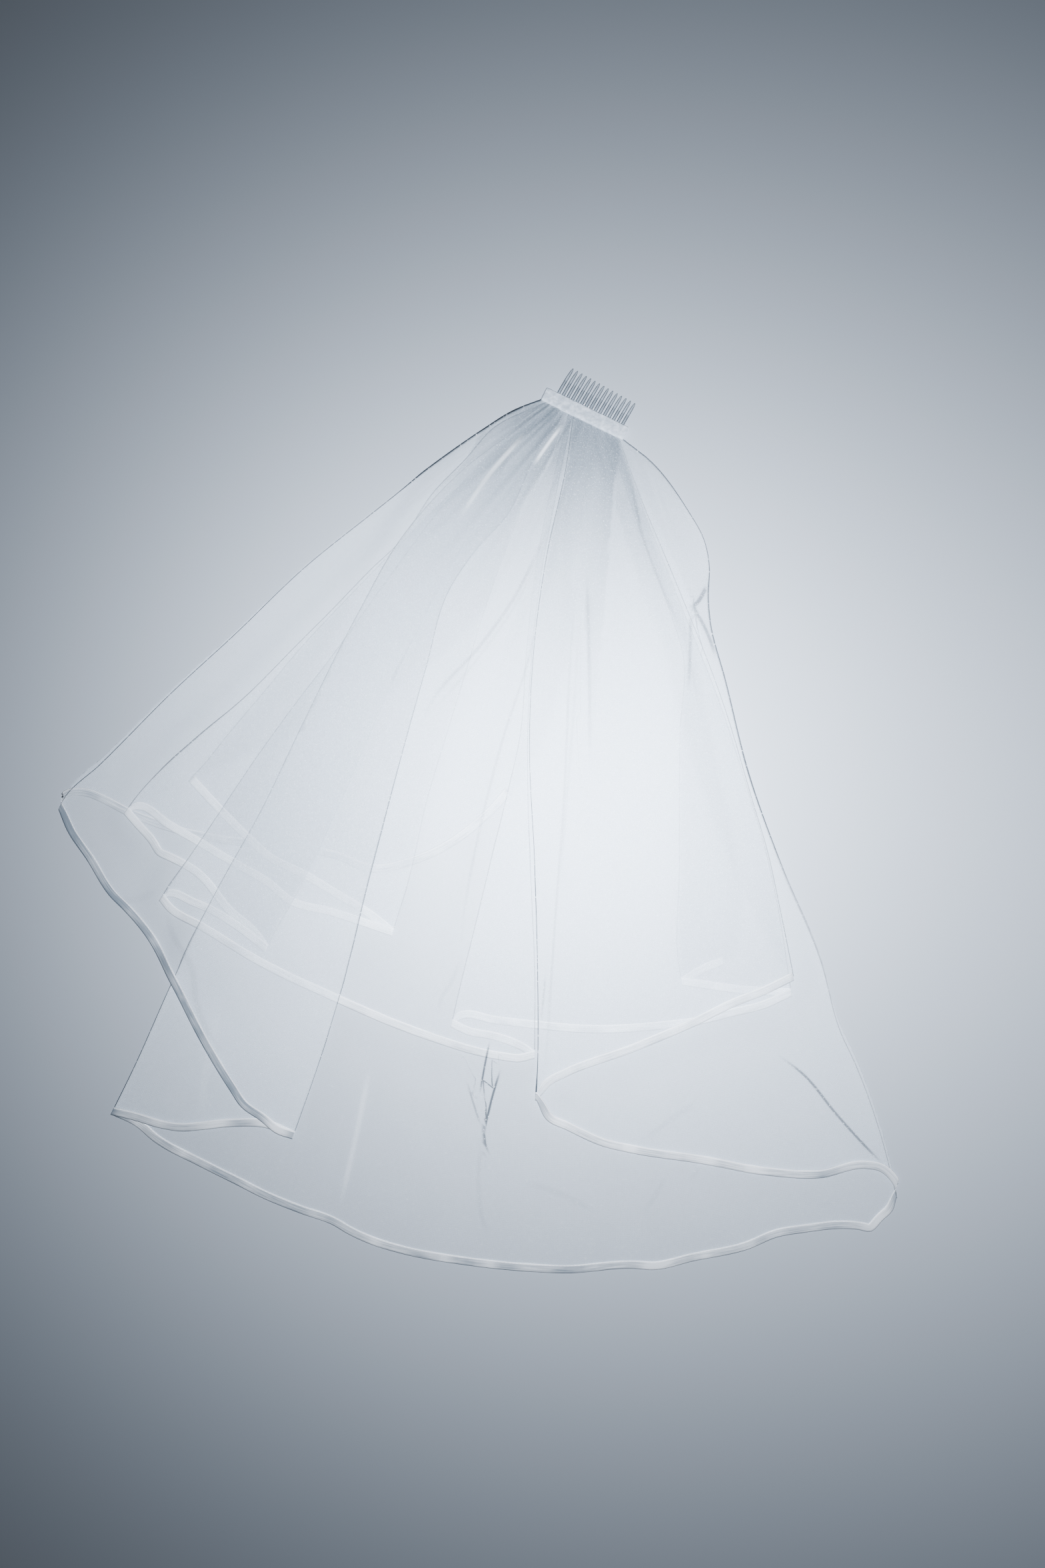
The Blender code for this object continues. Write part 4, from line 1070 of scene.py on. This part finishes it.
def makeFelt():
    material, shader = startMaterial("white felt", {"Roughness": 0.95, "Sheen Weight": 0.6, "Sheen Roughness": 0.5})
    place = addNode(material, "ShaderNodeTexCoord").outputs["Object"]
    coarse = addNode(material, "ShaderNodeTexNoise", {}, {"Vector": place, "Scale": 1 / (4.0 * mm), "Detail": 4.0})
    fine = addNode(material, "ShaderNodeTexNoise", {}, {"Vector": place, "Scale": 1 / (0.7 * mm), "Detail": 3.0})
    share = rampNode(material, coarse.outputs["Fac"], 0.35, 0.7)
    colour = mixColour(material, share, hexColour(feltLook["colour"]), hexColour(feltLook["light"]))
    colour = mixColour(material, readAttribute(material, "end"), colour, hexColour(feltLook["end"]))
    bump = addNode(material, "ShaderNodeBump", {}, {"Strength": 0.5, "Distance": 0.4 * mm, "Height": fine.outputs["Fac"]})
    material.node_tree.links.new(colour, shader.inputs["Base Color"])
    material.node_tree.links.new(bump.outputs["Normal"], shader.inputs["Normal"])
    return material


# Clear styrene plastic: see-through in the middle of a tooth, with painted grey edges and tips that stand in for the
# light it bends, and painted shade on the steep part of each tooth
clearLook = {
    "colour": "#a3adb6",
    "edge": "#2c343b",
    "open": 0.35,            # alpha in the middle of a tooth
    "edgeShare": 0.6,        # what its edges add
    "arch": 0.5,             # up to this share of its length a tooth is steep, and looks darker
    "roughness": 0.12,
    "ior": 1.55,
}


def makeClear():
    look = clearLook
    settings = {"Roughness": look["roughness"], "IOR": look["ior"]}
    material, shader = startMaterial("clear styrene plastic", settings)
    rim, along = readAttribute(material, "rim"), readAttribute(material, "along")
    upper = rampNode(material, along, look["arch"] - 0.06, look["arch"] + 0.04)
    wide = mathNode(material, "MULTIPLY_ADD", upper, -0.08, mathNode(material, "ADD", rim, 0.08))
    outline = rampNode(material, wide, 0.42, 0.7)
    tip = rampNode(material, along, 0.92, 1.0)
    # Painted shade and bent light: the outline, the steep part and the tip of each tooth go dark
    dark = mathNode(material, "MAXIMUM", outline, mathNode(material, "MULTIPLY", tip, 0.8), clamp=True)
    alpha = mathNode(material, "MULTIPLY_ADD", dark, look["edgeShare"], look["open"], clamp=True)
    colour = mixColour(material, dark, hexColour(look["colour"]), hexColour(look["edge"]))
    material.node_tree.links.new(colour, shader.inputs["Base Color"])
    material.node_tree.links.new(alpha, shader.inputs["Alpha"])
    return material


tulle = makeTulle()
satin = makeSatin()
felt = makeFelt()
clear = makeClear()
thread, _ = startMaterial("white polyester thread", {"Base Color": hexColour("#f4f6f8"), "Roughness": 0.45})

tulleLong = buildTulle("tulleLong", longPanels, cloth["longRows"], tulle)
tulleShort = buildTulle("tulleShort", shortPanels, cloth["shortRows"], tulle)
print("tulle laid out:", len(tulleLong.data.polygons), "and", len(tulleShort.data.polygons), "faces")
ribbonLong, stitchesLong = buildRibbon("ribbonLong", longPanels, satin, thread)
ribbonShort, stitchesShort = buildRibbon("ribbonShort", shortPanels, satin, thread)
print("ribbons sewn on")
feltCasing = makeCasing(felt)
clearComb = makeComb(clear)
combThread = makeCombThread(thread)
print("casing and comb made:", len(feltCasing.data.polygons), "and", len(clearComb.data.polygons), "faces")

for piece, node, slotName in ((tulleLong, "tulle_long", "tulle"), (tulleShort, "tulle_short", "tulle"),
                              (ribbonLong, "ribbon_long", "satin_ribbon"), (ribbonShort, "ribbon_short", "satin_ribbon"),
                              (feltCasing, "comb_casing", "felted_casing"), (clearComb, "comb", "clear_plastic")):
    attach(piece, "root")
    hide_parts(node)
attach(combThread, "root")
for piece in (stitchesLong, stitchesShort):
    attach(piece, "root")
for piece in (tulleLong, tulleShort, clearComb, feltCasing, ribbonLong, ribbonShort, stitchesLong, stitchesShort):
    piece.visible_shadow = False     # in the photo's soft light the veil casts next to no shadow

# The board and the light
board = {"colour": "#b8bfc6", "roughness": 0.6, "ior": 1.95, "size": 8.0}
unselectAll()
bpy.ops.mesh.primitive_plane_add(size=board["size"], location=(0, 0, -0.0004))
floor = bpy.context.object
floor.name = "board"
white, _ = startMaterial("glossy white board", {"Base Color": hexColour(board["colour"]),
                                                "Roughness": board["roughness"], "IOR": board["ior"]})
floor.data.materials.append(white)

lamps = [
    {"name": "overhead", "place": (0.085, 0.035, 0.38), "size": 0.3, "power": 10.3, "colour": "#eaf2ff"},
    {"name": "fill", "place": (0.6, 0.0, 0.6), "size": 0.4, "power": 3.6, "colour": "#e9f1ff"},
]
for lamp in lamps:
    light = bpy.data.lights.new(lamp["name"], "AREA")
    light.shape = "DISK"
    light.size = lamp["size"]
    light.energy = lamp["power"]
    light.color = hexColour(lamp["colour"])[:3]
    holder = bpy.data.objects.new(lamp["name"], light)
    bpy.context.scene.collection.objects.link(holder)
    holder.location = lamp["place"]
    holder.visible_camera = False

world = bpy.data.worlds.new("studio")
world.use_nodes = True
world.node_tree.nodes["Background"].inputs["Color"].default_value = hexColour("#b4c2d2")
world.node_tree.nodes["Background"].inputs["Strength"].default_value = 0.03
bpy.context.scene.world = world

# The camera looks straight down over the middle of the photograph
camera = bpy.data.cameras.new("camera")
camera.sensor_width = 36.0
camera.lens = 36.0 * photo["cameraHeight"] / (photo["height"] * photo["mmPerPixel"])
viewer = bpy.data.objects.new("camera", camera)
bpy.context.scene.collection.objects.link(viewer)
overX, overY = toFrame([(photo["width"] / 2, photo["height"] / 2)])[0]
viewer.location = (overX * mm, overY * mm, photo["cameraHeight"] * mm)
bpy.context.scene.camera = viewer
print("board, light and camera set")

bpy.context.view_layer.update()
